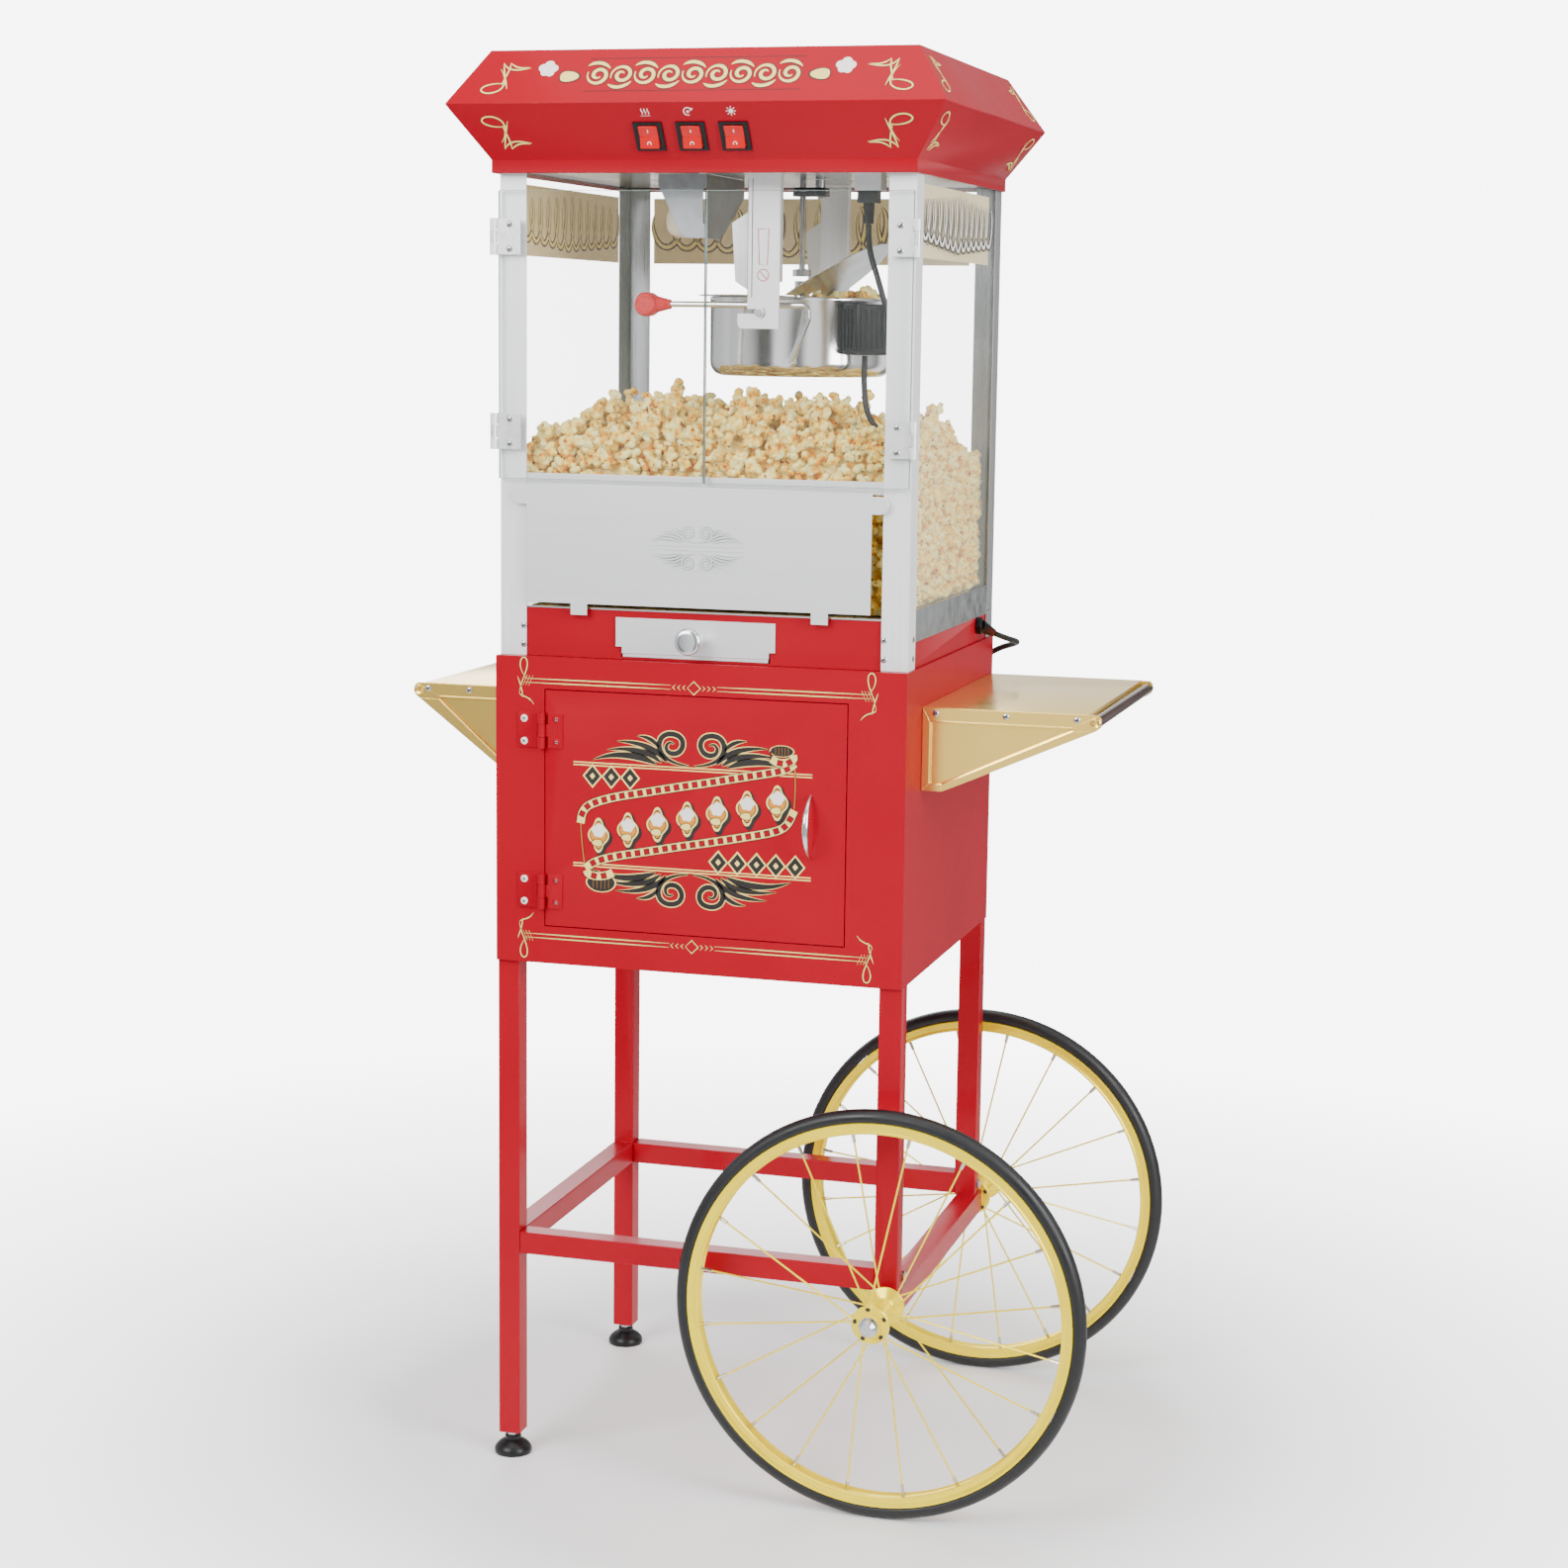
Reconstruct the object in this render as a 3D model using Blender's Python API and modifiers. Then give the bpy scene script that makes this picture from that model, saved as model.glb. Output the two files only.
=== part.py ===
"""Popcorn cart: a glass popper with a tipping pan, bolted on a cabinet cart with two spoked wheels.

Units are metres. +X points to the wheel side, -Y is the front, +Z is up and the floor is z = 0.
Everything is placed from the middle of the cabinet, under one empty that puts the middle of the
whole cart's footprint at the origin.
"""
import math

import bmesh
import bpy
from mathutils import Matrix, Vector

# ---------------------------------------------------------------- driving dimensions
GAP = 0.0003                    # between two pieces that touch
CABINET_OFFSET_X = -0.04570     # cabinet middle from the middle of the footprint

CABINET_WIDTH = 0.466
CABINET_DEPTH = 0.423
CABINET_LOW = 0.580
CABINET_HIGH = 0.922
SHEET = 0.0015                  # folded sheet steel

TUBE = 0.025                    # square tube of the stand
TUBE_WALL = 0.002
LEG_INSET_X = 0.0005
LEG_INSET_Y = 0.004
LEFT_LEG_LOW = 0.026
RAIL_LOW = 0.241

WHEEL_RADIUS = 0.2285
WHEEL_Y = 0.250
AXLE_X = 0.2235
AXLE_RADIUS = 0.006
RIM_OUTER = 0.2148
RIM_INNER = 0.1990
SPOKES = 20

DOOR_LEFT, DOOR_RIGHT = -0.175, 0.168
DOOR_LOW, DOOR_HIGH = 0.623, 0.886
DOOR_HINGE = (-0.1780, -0.2160)
DOOR_HINGE_HEIGHTS = (0.6620, 0.8413)

SHELF_TOP = 0.8785
SHELF_FRONT, SHELF_REAR = -0.142, 0.198
SHELF_REACH = {"right": 0.1825, "left": 0.1140}
GRIP_RADIUS = 0.0062

POPPER_X = 0.231                # half width over the corner posts
POPPER_FRONT, POPPER_REAR = -0.2015, 0.2115
POST_FLANGE = 0.030
POST_TOP = 1.445
BASE_TOP = 0.975
GLASS = 0.003
DOOR_GLASS_LOW, DOOR_GLASS_HIGH = 1.1155, 1.4235
DOOR_GLASS_MEET = 0.004
GLASS_HINGE = (0.2350, -0.2122)
GLASS_HINGE_HEIGHTS = (1.1665, 1.3745)

HOOD_X = 0.2348
HOOD_FRONT, HOOD_REAR = -0.2175, 0.2136
HOOD_FLARE = 0.038
HOOD_LEVELS = (1.441, 1.455, 1.511, 1.569)
HOOD_SLOPE = math.atan2(HOOD_FLARE, HOOD_LEVELS[2] - HOOD_LEVELS[1])
ROCKER_Z = 1.478
ROCKER_X = (-0.0508, -0.0038, 0.0432)

PAN_X, PAN_Y = 0.049, 0.005
PAN_RADIUS = 0.103
PAN_LOW, PAN_HIGH = 1.228, 1.3150
PIVOT_X, PIVOT_Z = 0.0430, 1.297
ARM_SPREAD = 0.145
HANDLE_Y = -0.113

PANEL_LEFT, PANEL_RIGHT = -0.199, 0.190
PANEL_LOW, PANEL_HIGH = 0.9815, 1.111
PANEL_AXIS = (-0.2065, 0.9745)
DRAWER_X, DRAWER_HALF = -0.0068, 0.0905
DRAWER_LOW, DRAWER_HIGH = 0.929, 0.968

CORD_RADIUS = 0.0034
LEAD_RADIUS = 0.0032
GLAND = (0.2292, 0.136, 0.941)
RELIEF_WAY = Vector((0.50, 0.76, -0.41)).normalized()
COIL_CENTRE = (0.045, 0.030)
COIL_RADIUS = 0.0375

# ---------------------------------------------------------------- scene, materials and helpers
for old in list(bpy.data.objects):
    bpy.data.objects.remove(old, do_unlink=True)

parts = bpy.data.collections.new("popcorn_cart")
tools = bpy.data.collections.new("cutters")
bpy.context.scene.collection.children.link(parts)
bpy.context.scene.collection.children.link(tools)

cart = bpy.data.objects.new("cart_frame", None)
cart.location.x = CABINET_OFFSET_X
parts.objects.link(cart)


def material(name, colour, roughness, metallic=0.0, alpha=1.0):
    made = bpy.data.materials.new(name)
    made.use_nodes = True
    shader = made.node_tree.nodes["Principled BSDF"]
    shader.inputs["Base Color"].default_value = (*colour, 1.0)
    shader.inputs["Roughness"].default_value = roughness
    shader.inputs["Metallic"].default_value = metallic
    shader.inputs["Alpha"].default_value = alpha
    return made


RED = material("red_paint", (0.62, 0.012, 0.022), 0.3)
STEEL = material("brushed_steel", (0.72, 0.72, 0.72), 0.32, 1.0)
ALUMINIUM = material("aluminium", (0.78, 0.79, 0.80), 0.4, 0.9)
CHROME = material("bright_steel", (0.82, 0.82, 0.82), 0.12, 1.0)
BRASS = material("brass", (0.80, 0.58, 0.26), 0.3, 1.0)
GOLD = material("gold_paint", (0.80, 0.62, 0.16), 0.35)
RUBBER = material("rubber", (0.02, 0.02, 0.022), 0.7)
BLACK = material("black_plastic", (0.025, 0.025, 0.027), 0.4)
SWITCH_RED = material("switch_red", (0.70, 0.02, 0.02), 0.25)
GLAZING = material("clear_glass", (0.95, 0.98, 0.97), 0.03, 0.0, 0.25)
GRIP = material("dark_grip", (0.10, 0.06, 0.05), 0.35)
LAMP = material("lamp", (0.9, 0.85, 0.7), 0.3)


def add(name, mesh, look, helper=False):
    """Put a mesh or curve in the scene as a part, or as a hidden tool that cuts or joins one."""
    made = bpy.data.objects.new(name, mesh)
    (tools if helper else parts).objects.link(made)
    made.parent = cart
    if helper:
        made.hide_render = True
        made.display_type = "WIRE"
    if look:
        mesh.materials.append(look)
    return made


def mesh_from(name, shape):
    mesh = bpy.data.meshes.new(name)
    shape.normal_update()
    shape.to_mesh(mesh)
    shape.free()
    return mesh


def box(name, xs, ys, zs, look=None, helper=False):
    """A box between the given limits, with its origin at its middle."""
    size = [abs(high - low) for low, high in (xs, ys, zs)]
    shape = bmesh.new()
    bmesh.ops.create_cube(shape, size=1.0)
    bmesh.ops.scale(shape, vec=size, verts=shape.verts)
    made = add(name, mesh_from(name, shape), look, helper)
    made.location = [(low + high) / 2 for low, high in (xs, ys, zs)]
    return made


AXIS_TURN = {"X": Matrix.Rotation(math.pi / 2, 4, "Y"), "Y": Matrix.Rotation(-math.pi / 2, 4, "X"),
             "Z": Matrix.Identity(4)}


def cylinder(name, centre, radius, length, axis="Z", sides=16, look=None, helper=False, radius2=None):
    """A cylinder, or a cone that ends with radius2 at its far end, along an axis."""
    shape = bmesh.new()
    bmesh.ops.create_cone(shape, cap_ends=True, segments=sides, radius1=radius,
                          radius2=radius if radius2 is None else radius2, depth=length)
    bmesh.ops.transform(shape, matrix=AXIS_TURN[axis], verts=shape.verts)
    made = add(name, mesh_from(name, shape), look, helper)
    made.location = centre
    smooth(made)
    return made


def smooth(made):
    made.data.shade_smooth()
    made.data.set_sharp_from_angle(angle=math.radians(40))


def turned(name, profile, axis="Z", steps=24, look=None, helper=False, closed=False):
    """Revolve (radius, height) points; the profile runs down its outer side, top to bottom."""
    mesh = bpy.data.meshes.new(name)
    points = [(radius, 0.0, height) for radius, height in profile]
    edges = [(i, i + 1) for i in range(len(points) - 1)]
    if closed:
        edges.append((len(points) - 1, 0))
    mesh.from_pydata(points, edges, [])
    made = add(name, mesh, look, helper)
    screw = made.modifiers.new("turn", "SCREW")
    screw.steps = steps
    screw.render_steps = steps
    screw.use_merge_vertices = True
    screw.merge_threshold = 0.0001
    screw.use_smooth_shade = True
    made.matrix_basis = AXIS_TURN[axis]
    return made


def tube(name, points, radius, look=None, helper=False, resolution=2):
    curve = bpy.data.curves.new(name, "CURVE")
    curve.dimensions = "3D"
    curve.bevel_depth = radius
    curve.bevel_resolution = resolution
    curve.use_fill_caps = True
    spline = curve.splines.new("POLY")
    spline.points.add(len(points) - 1)
    for slot, point in zip(spline.points, points):
        slot.co = (*point, 1.0)
    return add(name, curve, look, helper)


def plate(name, outline, thickness, look=None, helper=False):
    """A flat outline in the local XY plane with the given thickness along local Z."""
    curve = bpy.data.curves.new(name, "CURVE")
    curve.dimensions = "2D"
    curve.fill_mode = "BOTH"
    curve.extrude = thickness / 2
    spline = curve.splines.new("POLY")
    spline.points.add(len(outline) - 1)
    for slot, (u, v) in zip(spline.points, outline):
        slot.co = (u, v, 0.0, 1.0)
    spline.use_cyclic_u = True
    return add(name, curve, look, helper)


def as_mesh(made):
    """Replace a curve object with the mesh it makes, its caps welded, so that it can be cut."""
    bpy.context.view_layer.update()
    evaluated = made.evaluated_get(bpy.context.evaluated_depsgraph_get())
    mesh = bpy.data.meshes.new_from_object(evaluated)
    shape = bmesh.new()
    shape.from_mesh(mesh)
    bmesh.ops.remove_doubles(shape, verts=shape.verts, dist=0.00001)
    shape.normal_update()
    shape.to_mesh(mesh)
    shape.free()
    name = made.name
    collection = made.users_collection[0]
    fresh = bpy.data.objects.new(name, mesh)
    collection.objects.link(fresh)
    fresh.parent = cart
    fresh.matrix_basis = made.matrix_basis.copy()
    fresh.hide_render = made.hide_render
    fresh.display_type = made.display_type
    bpy.data.objects.remove(made, do_unlink=True)
    fresh.name = name
    return fresh


def combine(target, tool, operation):
    modifier = target.modifiers.new(operation.lower() + "_" + tool.name, "BOOLEAN")
    modifier.operation = operation
    modifier.solver = "EXACT"
    modifier.object = tool
    return target


def cut(target, *cutters):
    for cutter in cutters:
        combine(target, cutter, "DIFFERENCE")
    return target


def join(target, *others):
    for other in others:
        combine(target, other, "UNION")
    return target


def pivot_at(made, point):
    """Move a piece's origin onto its joint's axis without moving the piece."""
    point = Vector(point)
    shift = made.matrix_basis.inverted() @ point
    made.data.transform(Matrix.Translation(-shift))
    made.location = point
    return made


def arc(centre, radius, start, end, steps):
    """Points on a circle from one angle to another, in degrees."""
    turns = [math.radians(start + (end - start) * i / steps) for i in range(steps + 1)]
    return [(centre[0] + radius * math.cos(a), centre[1] + radius * math.sin(a)) for a in turns]


def smooth_route(points, spacing, sharpness=0.5):
    """Evenly spaced points on a smooth curve through a cord's own route points."""
    route = [Vector(p) for p in points]
    ends = [route[0] * 2 - route[1]] + route + [route[-1] * 2 - route[-2]]
    dense = []
    for i in range(1, len(ends) - 2):
        before, here, ahead, after = ends[i - 1:i + 3]
        for step in range(24):
            t = step / 24
            leave = (ahead - before) * sharpness
            arrive = (after - here) * sharpness
            dense.append(here * (2 * t**3 - 3 * t**2 + 1) + leave * (t**3 - 2 * t**2 + t)
                         + ahead * (3 * t**2 - 2 * t**3) + arrive * (t**3 - t**2))
    dense.append(route[-1])
    reach = [0.0]
    for last, point in zip(dense, dense[1:]):
        reach.append(reach[-1] + (point - last).length)
    count = max(2, round(reach[-1] / spacing))
    even = []
    for i in range(count + 1):
        goal = reach[-1] * i / count
        j = next((k for k in range(1, len(reach)) if reach[k] >= goal), len(reach) - 1)
        share = (goal - reach[j - 1]) / max(reach[j] - reach[j - 1], 1e-9)
        even.append(dense[j - 1].lerp(dense[j], share))
    return even


# ---------------------------------------------------------------- stand
half_x = CABINET_WIDTH / 2
half_y = CABINET_DEPTH / 2
leg_x = (half_x - LEG_INSET_X - TUBE, half_x - LEG_INSET_X)
leg_y = (half_y - LEG_INSET_Y - TUBE, half_y - LEG_INSET_Y)
rail_z = (RAIL_LOW, RAIL_LOW + TUBE)
leg_top = CABINET_LOW - GAP


def flip(limits):
    return (-limits[1], -limits[0])


def inside(limits, wall=TUBE_WALL):
    return (limits[0] + wall, limits[1] - wall)


def make_left_leg_frame():
    """Two long legs with the left rail welded between them; each leg takes a levelling foot."""
    xs = flip(leg_x)
    frame = box("left_leg_frame", xs, flip(leg_y), (LEFT_LEG_LOW, leg_top), RED)
    rear = box("left_rear_leg", xs, leg_y, (LEFT_LEG_LOW, leg_top), helper=True)
    rail = box("left_rail", xs, (-leg_y[0] - 0.001, leg_y[0] + 0.001), rail_z, helper=True)
    join(frame, rear, rail)
    for name, ys in (("front", flip(leg_y)), ("rear", leg_y)):
        hollow = box(f"left_{name}_hollow", inside(xs), inside(ys),
                     (LEFT_LEG_LOW + 0.006, leg_top + 0.01), helper=True)
        thread = cylinder(f"left_{name}_thread", (sum(xs) / 2, sum(ys) / 2, LEFT_LEG_LOW), 0.0044, 0.03,
                          sides=12, helper=True)
        cut(frame, hollow, thread)
    rail_hollow = box("left_rail_hollow", inside(xs), (-leg_y[0] - 0.004, leg_y[0] + 0.004), inside(rail_z),
                      helper=True)
    cut(frame, rail_hollow)


def make_right_leg_frame():
    """Two short legs standing on the square axle tube that they are welded to."""
    axle_tube_x = (AXLE_X - TUBE / 2, AXLE_X + TUBE / 2)
    axle_tube_z = (RAIL_LOW - TUBE, RAIL_LOW)
    frame = box("right_leg_frame", axle_tube_x, (-leg_y[1], leg_y[1]), axle_tube_z, RED)
    for name, ys in (("front", flip(leg_y)), ("rear", leg_y)):
        leg = box(f"right_{name}_leg", leg_x, ys, (RAIL_LOW - 0.001, leg_top), helper=True)
        join(frame, leg)
    for name, ys in (("front", flip(leg_y)), ("rear", leg_y)):
        hollow = box(f"right_{name}_hollow", inside(leg_x), inside(ys), (RAIL_LOW + 0.003, leg_top + 0.01),
                     helper=True)
        cut(frame, hollow)
    cavity = box("axle_tube_hollow", inside(axle_tube_x), (-leg_y[1] + 0.003, leg_y[1] - 0.003),
                 inside(axle_tube_z), helper=True)
    bearings = cylinder("axle_holes", (AXLE_X, 0, WHEEL_RADIUS), AXLE_RADIUS + 0.0001, 0.5, "Y", 24,
                        helper=True)
    cut(frame, cavity, bearings)


def make_rail(name, ys):
    """A square tube between the legs, open at both ends."""
    rail = box(name, (-leg_x[0] + GAP, leg_x[0] - GAP), ys, rail_z, RED)
    hollow = box(name + "_hollow", (-0.3, 0.3), inside(ys), inside(rail_z), helper=True)
    cut(rail, hollow)


def make_foot(name, ys):
    """A levelling foot: rubber-faced pad, hexagon and threaded stem in the leg's end plug."""
    profile = [(0, 0.050), (0.004, 0.050), (0.004, 0.0225), (0.0085, 0.0225), (0.0085, 0.0165),
               (0.012, 0.0145), (0.0205, 0.0075), (0.0215, 0.0045), (0.0210, 0.0), (0, 0.0)]
    foot = turned(name, profile, steps=20, look=BLACK)
    foot.location = (-sum(leg_x) / 2, sum(ys) / 2, 0)


# ---------------------------------------------------------------- wheels
def make_wheel(name, side):
    """Channel rim, turned hub and crossed wire spokes, joined into one wheel on the hub's middle."""
    half = 0.0085
    rim_profile = [(RIM_OUTER - 0.004, half), (RIM_OUTER, half), (RIM_OUTER, -half),
                   (RIM_OUTER - 0.004, -half), (RIM_INNER + 0.004, -half + 0.001), (RIM_INNER, -0.003),
                   (RIM_INNER, 0.003), (RIM_INNER + 0.004, half - 0.001)]
    wheel = turned(name, rim_profile, "Y", 48, GOLD, closed=True)
    wheel.location = (AXLE_X, side * WHEEL_Y, WHEEL_RADIUS)
    bore = AXLE_RADIUS + 0.0001
    hub_profile = [(0.0115, 0.0405), (0.0115, 0.0345), (0.0215, 0.0345), (0.0215, 0.0315),
                   (0.0090, 0.0295), (0.0090, -0.0295), (0.0215, -0.0315), (0.0215, -0.0345),
                   (0.0115, -0.0345), (0.0115, -0.0405), (bore, -0.0405), (bore, 0.0405)]
    hub = turned(name + "_hub", hub_profile, "Y", 24, helper=True, closed=True)
    hub.location = wheel.location
    shape = bmesh.new()
    for i in range(SPOKES):
        flange = 0.033 if i % 2 else -0.033
        lean = math.radians(16 if i % 4 < 2 else -16)
        angle = 2 * math.pi * (i + 0.5) / SPOKES
        start = Vector((0.0165 * math.cos(angle + lean), flange, 0.0165 * math.sin(angle + lean)))
        reach = RIM_INNER + 0.0035
        end = Vector((reach * math.cos(angle), 0.0, reach * math.sin(angle)))
        way = end - start
        place = Matrix.Translation((start + end) / 2) @ way.to_track_quat("Z", "Y").to_matrix().to_4x4()
        bmesh.ops.create_cone(shape, cap_ends=True, segments=6, radius1=0.0014, radius2=0.0014,
                              depth=way.length, matrix=place)
    spokes = add(name + "_spokes", mesh_from(name + "_spokes", shape), None, helper=True)
    spokes.location = wheel.location
    join(wheel, hub, spokes)


def make_tyre(name, side):
    """A solid rubber tyre with a rounded tread, seated on the rim."""
    seat = RIM_OUTER + GAP
    crown = WHEEL_RADIUS - seat
    profile = [(seat, 0.0095), (seat + 0.004, 0.0100)]
    profile += [(seat + crown * 0.45 + crown * 0.55 * math.cos(a), 0.0100 * math.sin(a))
                for a in (math.radians(t) for t in (50, 25, 0, -25, -50))]
    profile += [(seat + 0.004, -0.0100), (seat, -0.0095)]
    tyre = turned(name, profile, "Y", 64, RUBBER, closed=True)
    tyre.location = (AXLE_X, side * WHEEL_Y, WHEEL_RADIUS)


def make_axle():
    """One steel axle through the axle tube, with a cap nut on each end outside the wheel."""
    end = WHEEL_Y + 0.0405 + 0.0005
    tip = end + 0.010
    profile = [(0, tip), (0.006, tip), (0.0095, tip - 0.003), (0.0095, end), (AXLE_RADIUS, end),
               (AXLE_RADIUS, -end), (0.0095, -end), (0.0095, -tip + 0.003), (0.006, -tip), (0, -tip)]
    axle = turned("axle", profile, "Y", 20, CHROME)
    axle.location = (AXLE_X, 0, WHEEL_RADIUS)


# ---------------------------------------------------------------- cabinet
def hinge_knuckles(name, axis, z_middle, height, share, radius, lower_first):
    """Cylinders on a vertical hinge axis: two end knuckles, or the one between them."""
    x, y = axis
    segment = height * share
    spans = ((-height / 2, -height / 2 + segment), (height / 2 - segment, height / 2))
    if not lower_first:
        spans = ((-height / 2 + segment + GAP, height / 2 - segment - GAP),)
    made = []
    for i, (low, high) in enumerate(spans):
        centre = (x, y, z_middle + (low + high) / 2)
        made.append(cylinder(f"{name}_knuckle_{i}", centre, radius, high - low, sides=12, helper=True))
    return made


def make_cabinet():
    """A folded steel box, open at the front for the door, with a cable hole in its back."""
    xs, ys, zs = (-half_x, half_x), (-half_y, half_y), (CABINET_LOW, CABINET_HIGH)
    shell = box("cabinet_shell", xs, ys, zs, RED)
    room = box("cabinet_room", inside(xs, SHEET), inside(ys, SHEET), inside(zs, SHEET), helper=True)
    doorway = box("cabinet_doorway", (DOOR_LEFT - 0.001, DOOR_RIGHT + 0.001), (-half_y - 0.01, -half_y + 0.01),
                  (DOOR_LOW - 0.001, DOOR_HIGH + 0.001), helper=True)
    cable_hole = cylinder("cable_hole", (0.176, half_y, 0.792), 0.017, 0.02, "Y", 20, helper=True)
    cut(shell, room, doorway, cable_hole)
    x, y = DOOR_HINGE
    for i, z in enumerate(DOOR_HINGE_HEIGHTS):
        leaf = box(f"cabinet_leaf_{i}", (-0.206, x), (-half_y - 0.0016, -half_y + 0.0005),
                   (z - 0.0195, z + 0.0195), helper=True)
        slot = box(f"cabinet_leaf_slot_{i}", (x - 0.006, x + 0.006), (y - 0.006, -half_y + 0.002),
                   (z - 0.0075, z + 0.0075), helper=True)
        cut(leaf, slot)
        pin = cylinder(f"cabinet_pin_{i}", (x, y, z), 0.0014, 0.036, sides=8, helper=True)
        join(shell, leaf, *hinge_knuckles(f"cabinet_{i}", DOOR_HINGE, z, 0.039, 0.31, 0.0042, True), pin)


def make_cabinet_door():
    """The door pan with its folded rim, and the two hinge leaves riveted to it."""
    xs, zs = (DOOR_LEFT, DOOR_RIGHT), (DOOR_LOW, DOOR_HIGH)
    door = box("cabinet_door", xs, (-half_y, -half_y + 0.014), zs, RED)
    pan = box("door_pan", inside(xs, SHEET), (-half_y + SHEET, -half_y + 0.03), inside(zs, SHEET), helper=True)
    cut(door, pan)
    x, y = DOOR_HINGE
    for i, z in enumerate(DOOR_HINGE_HEIGHTS):
        strap = box(f"door_strap_{i}", (x + 0.001, -0.1700), (-half_y - 0.0018, -half_y - GAP),
                    (z - 0.0068, z + 0.0068), helper=True)
        wing = box(f"door_wing_{i}", (-0.1715, -0.1545), (-half_y - 0.0016, -half_y + 0.0005),
                   (z - 0.0195, z + 0.0195), helper=True)
        join(door, wing, strap, *hinge_knuckles(f"door_{i}", DOOR_HINGE, z, 0.039, 0.31, 0.0042, False))
        bore = cylinder(f"door_bore_{i}", (x, y, z), 0.0016, 0.06, sides=8, helper=True)
        cut(door, bore)
    pivot_at(door, (x, y, (DOOR_LOW + DOOR_HIGH) / 2))


def make_door_pull():
    """A bow-shaped wire pull standing off the door."""
    x, face, middle, half = 0.1290, -half_y - GAP, 0.7515, 0.0340
    bow = [(0.0, -half), (0.0030, -half), *arc((-0.0170, 0), 0.0380, -54, 54, 8), (0.0030, half), (0.0, half)]
    tube("door_pull", [(x, face - out, middle + up) for out, up in bow], 0.0030, BRASS)


def make_shelf(side):
    """A side shelf: a sheet plate with a folded gusset at each end, and the grip rod between them."""
    sign = 1 if side == "right" else -1
    root = half_x + GAP
    reach = half_x + SHELF_REACH[side]
    tip = reach + 0.0135
    top = SHELF_TOP
    shelf = box(f"shelf_{side}", sorted((sign * root, sign * reach)), (SHELF_FRONT, SHELF_REAR),
                (top - SHEET, top), BRASS)
    low = top - 0.0915
    for name, y in (("front", SHELF_FRONT), ("rear", SHELF_REAR - SHEET)):
        outline = [(root, top - 0.0002), (root, low), (root + 0.024, low), (tip - 0.004, top - 0.0165),
                   (tip, top - 0.0125), (tip, top - 0.0045), (tip - 0.004, top - 0.0002)]
        gusset = plate(f"shelf_{side}_{name}_gusset", [(sign * u, v) for u, v in outline], SHEET, helper=True)
        gusset.rotation_euler.x = math.pi / 2
        gusset.location.y = y + SHEET / 2
        join(shelf, as_mesh(gusset))
    foot = box(f"shelf_{side}_flange", sorted((sign * root, sign * (root + SHEET))),
               (SHELF_FRONT + 0.0002, SHELF_REAR - 0.0002), (top - 0.018, top - 0.0002), helper=True)
    join(shelf, foot)
    cylinder(f"shelf_{side}_grip", (sign * (reach + 0.0074), (SHELF_FRONT + SHELF_REAR) / 2, top - 0.0085),
             GRIP_RADIUS, SHELF_REAR - SHELF_FRONT - 2 * SHEET - 2 * GAP, "Y", 16, GRIP)


# ---------------------------------------------------------------- popper case
inner_x = POPPER_X - SHEET - GAP


def make_post(name, sign_x, sign_y):
    """An angle profile at a corner; the front ones carry the fixed knuckles of the glass doors."""
    outer_y = POPPER_FRONT if sign_y < 0 else POPPER_REAR
    xs = sorted((sign_x * POPPER_X, sign_x * (POPPER_X - POST_FLANGE)))
    ys = sorted((outer_y, outer_y - sign_y * POST_FLANGE))
    zs = (CABINET_HIGH + GAP, POST_TOP)
    post = box(name, xs, ys, zs, ALUMINIUM)
    cut_x = sorted((sign_x * (POPPER_X - SHEET), sign_x * (POPPER_X - POST_FLANGE - 0.01)))
    cut_y = sorted((outer_y - sign_y * SHEET, outer_y - sign_y * (POST_FLANGE + 0.01)))
    cut(post, box(name + "_inside", cut_x, cut_y, (0.9, 1.5), helper=True))
    if sign_y > 0:
        return
    x, y = sign_x * GLASS_HINGE[0], GLASS_HINGE[1]
    for i, z in enumerate(GLASS_HINGE_HEIGHTS):
        for j, (low, high) in enumerate(((z - 0.0195, z - 0.0075), (z + 0.0075, z + 0.0195))):
            lug = box(f"{name}_lug_{i}{j}", sorted((sign_x * 0.2306, sign_x * 0.2330)), (y, -0.186), (low, high),
                      helper=True)
            join(post, lug)
        knuckles = hinge_knuckles(f"{name}_{i}", (x, y), z, 0.039, 0.31, 0.0036, True)
        pin = cylinder(f"{name}_pin_{i}", (x, y, z), 0.0013, 0.036, sides=8, helper=True)
        join(post, *knuckles, pin)


def make_glass_door(side):
    """A frameless pane on two leaf hinges clamped to its outer edge."""
    sign = 1 if side == "right" else -1
    edge, meet = sign * 0.2300, DOOR_GLASS_MEET + sign * 0.0006
    pane = box(f"door_glass_{side}", sorted((edge, meet)), (-0.2095, -0.2055),
               (DOOR_GLASS_LOW, DOOR_GLASS_HIGH), GLAZING)
    x, y = sign * GLASS_HINGE[0], GLASS_HINGE[1]
    pivot_at(pane, (x, y, (DOOR_GLASS_LOW + DOOR_GLASS_HIGH) / 2))
    for level, z in zip(("lower", "upper"), GLASS_HINGE_HEIGHTS):
        name = f"door_hinge_{side}_{level}"
        leaf = box(name, sorted((sign * 0.2040, sign * 0.2300)), (-0.2114, -0.2098),
                   (z - 0.0190, z + 0.0190), CHROME)
        strap = box(name + "_strap", sorted((sign * 0.2290, sign * 0.2350)), (-0.2114, -0.2098),
                    (z - 0.0068, z + 0.0068), helper=True)
        join(leaf, strap, *hinge_knuckles(name, (x, y), z, 0.039, 0.31, 0.0036, False))
        bore = cylinder(name + "_bore", (x, y, z), 0.0015, 0.06, sides=8, helper=True)
        cut(leaf, bore)
        pivot_at(leaf, (x, y, z))


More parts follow.
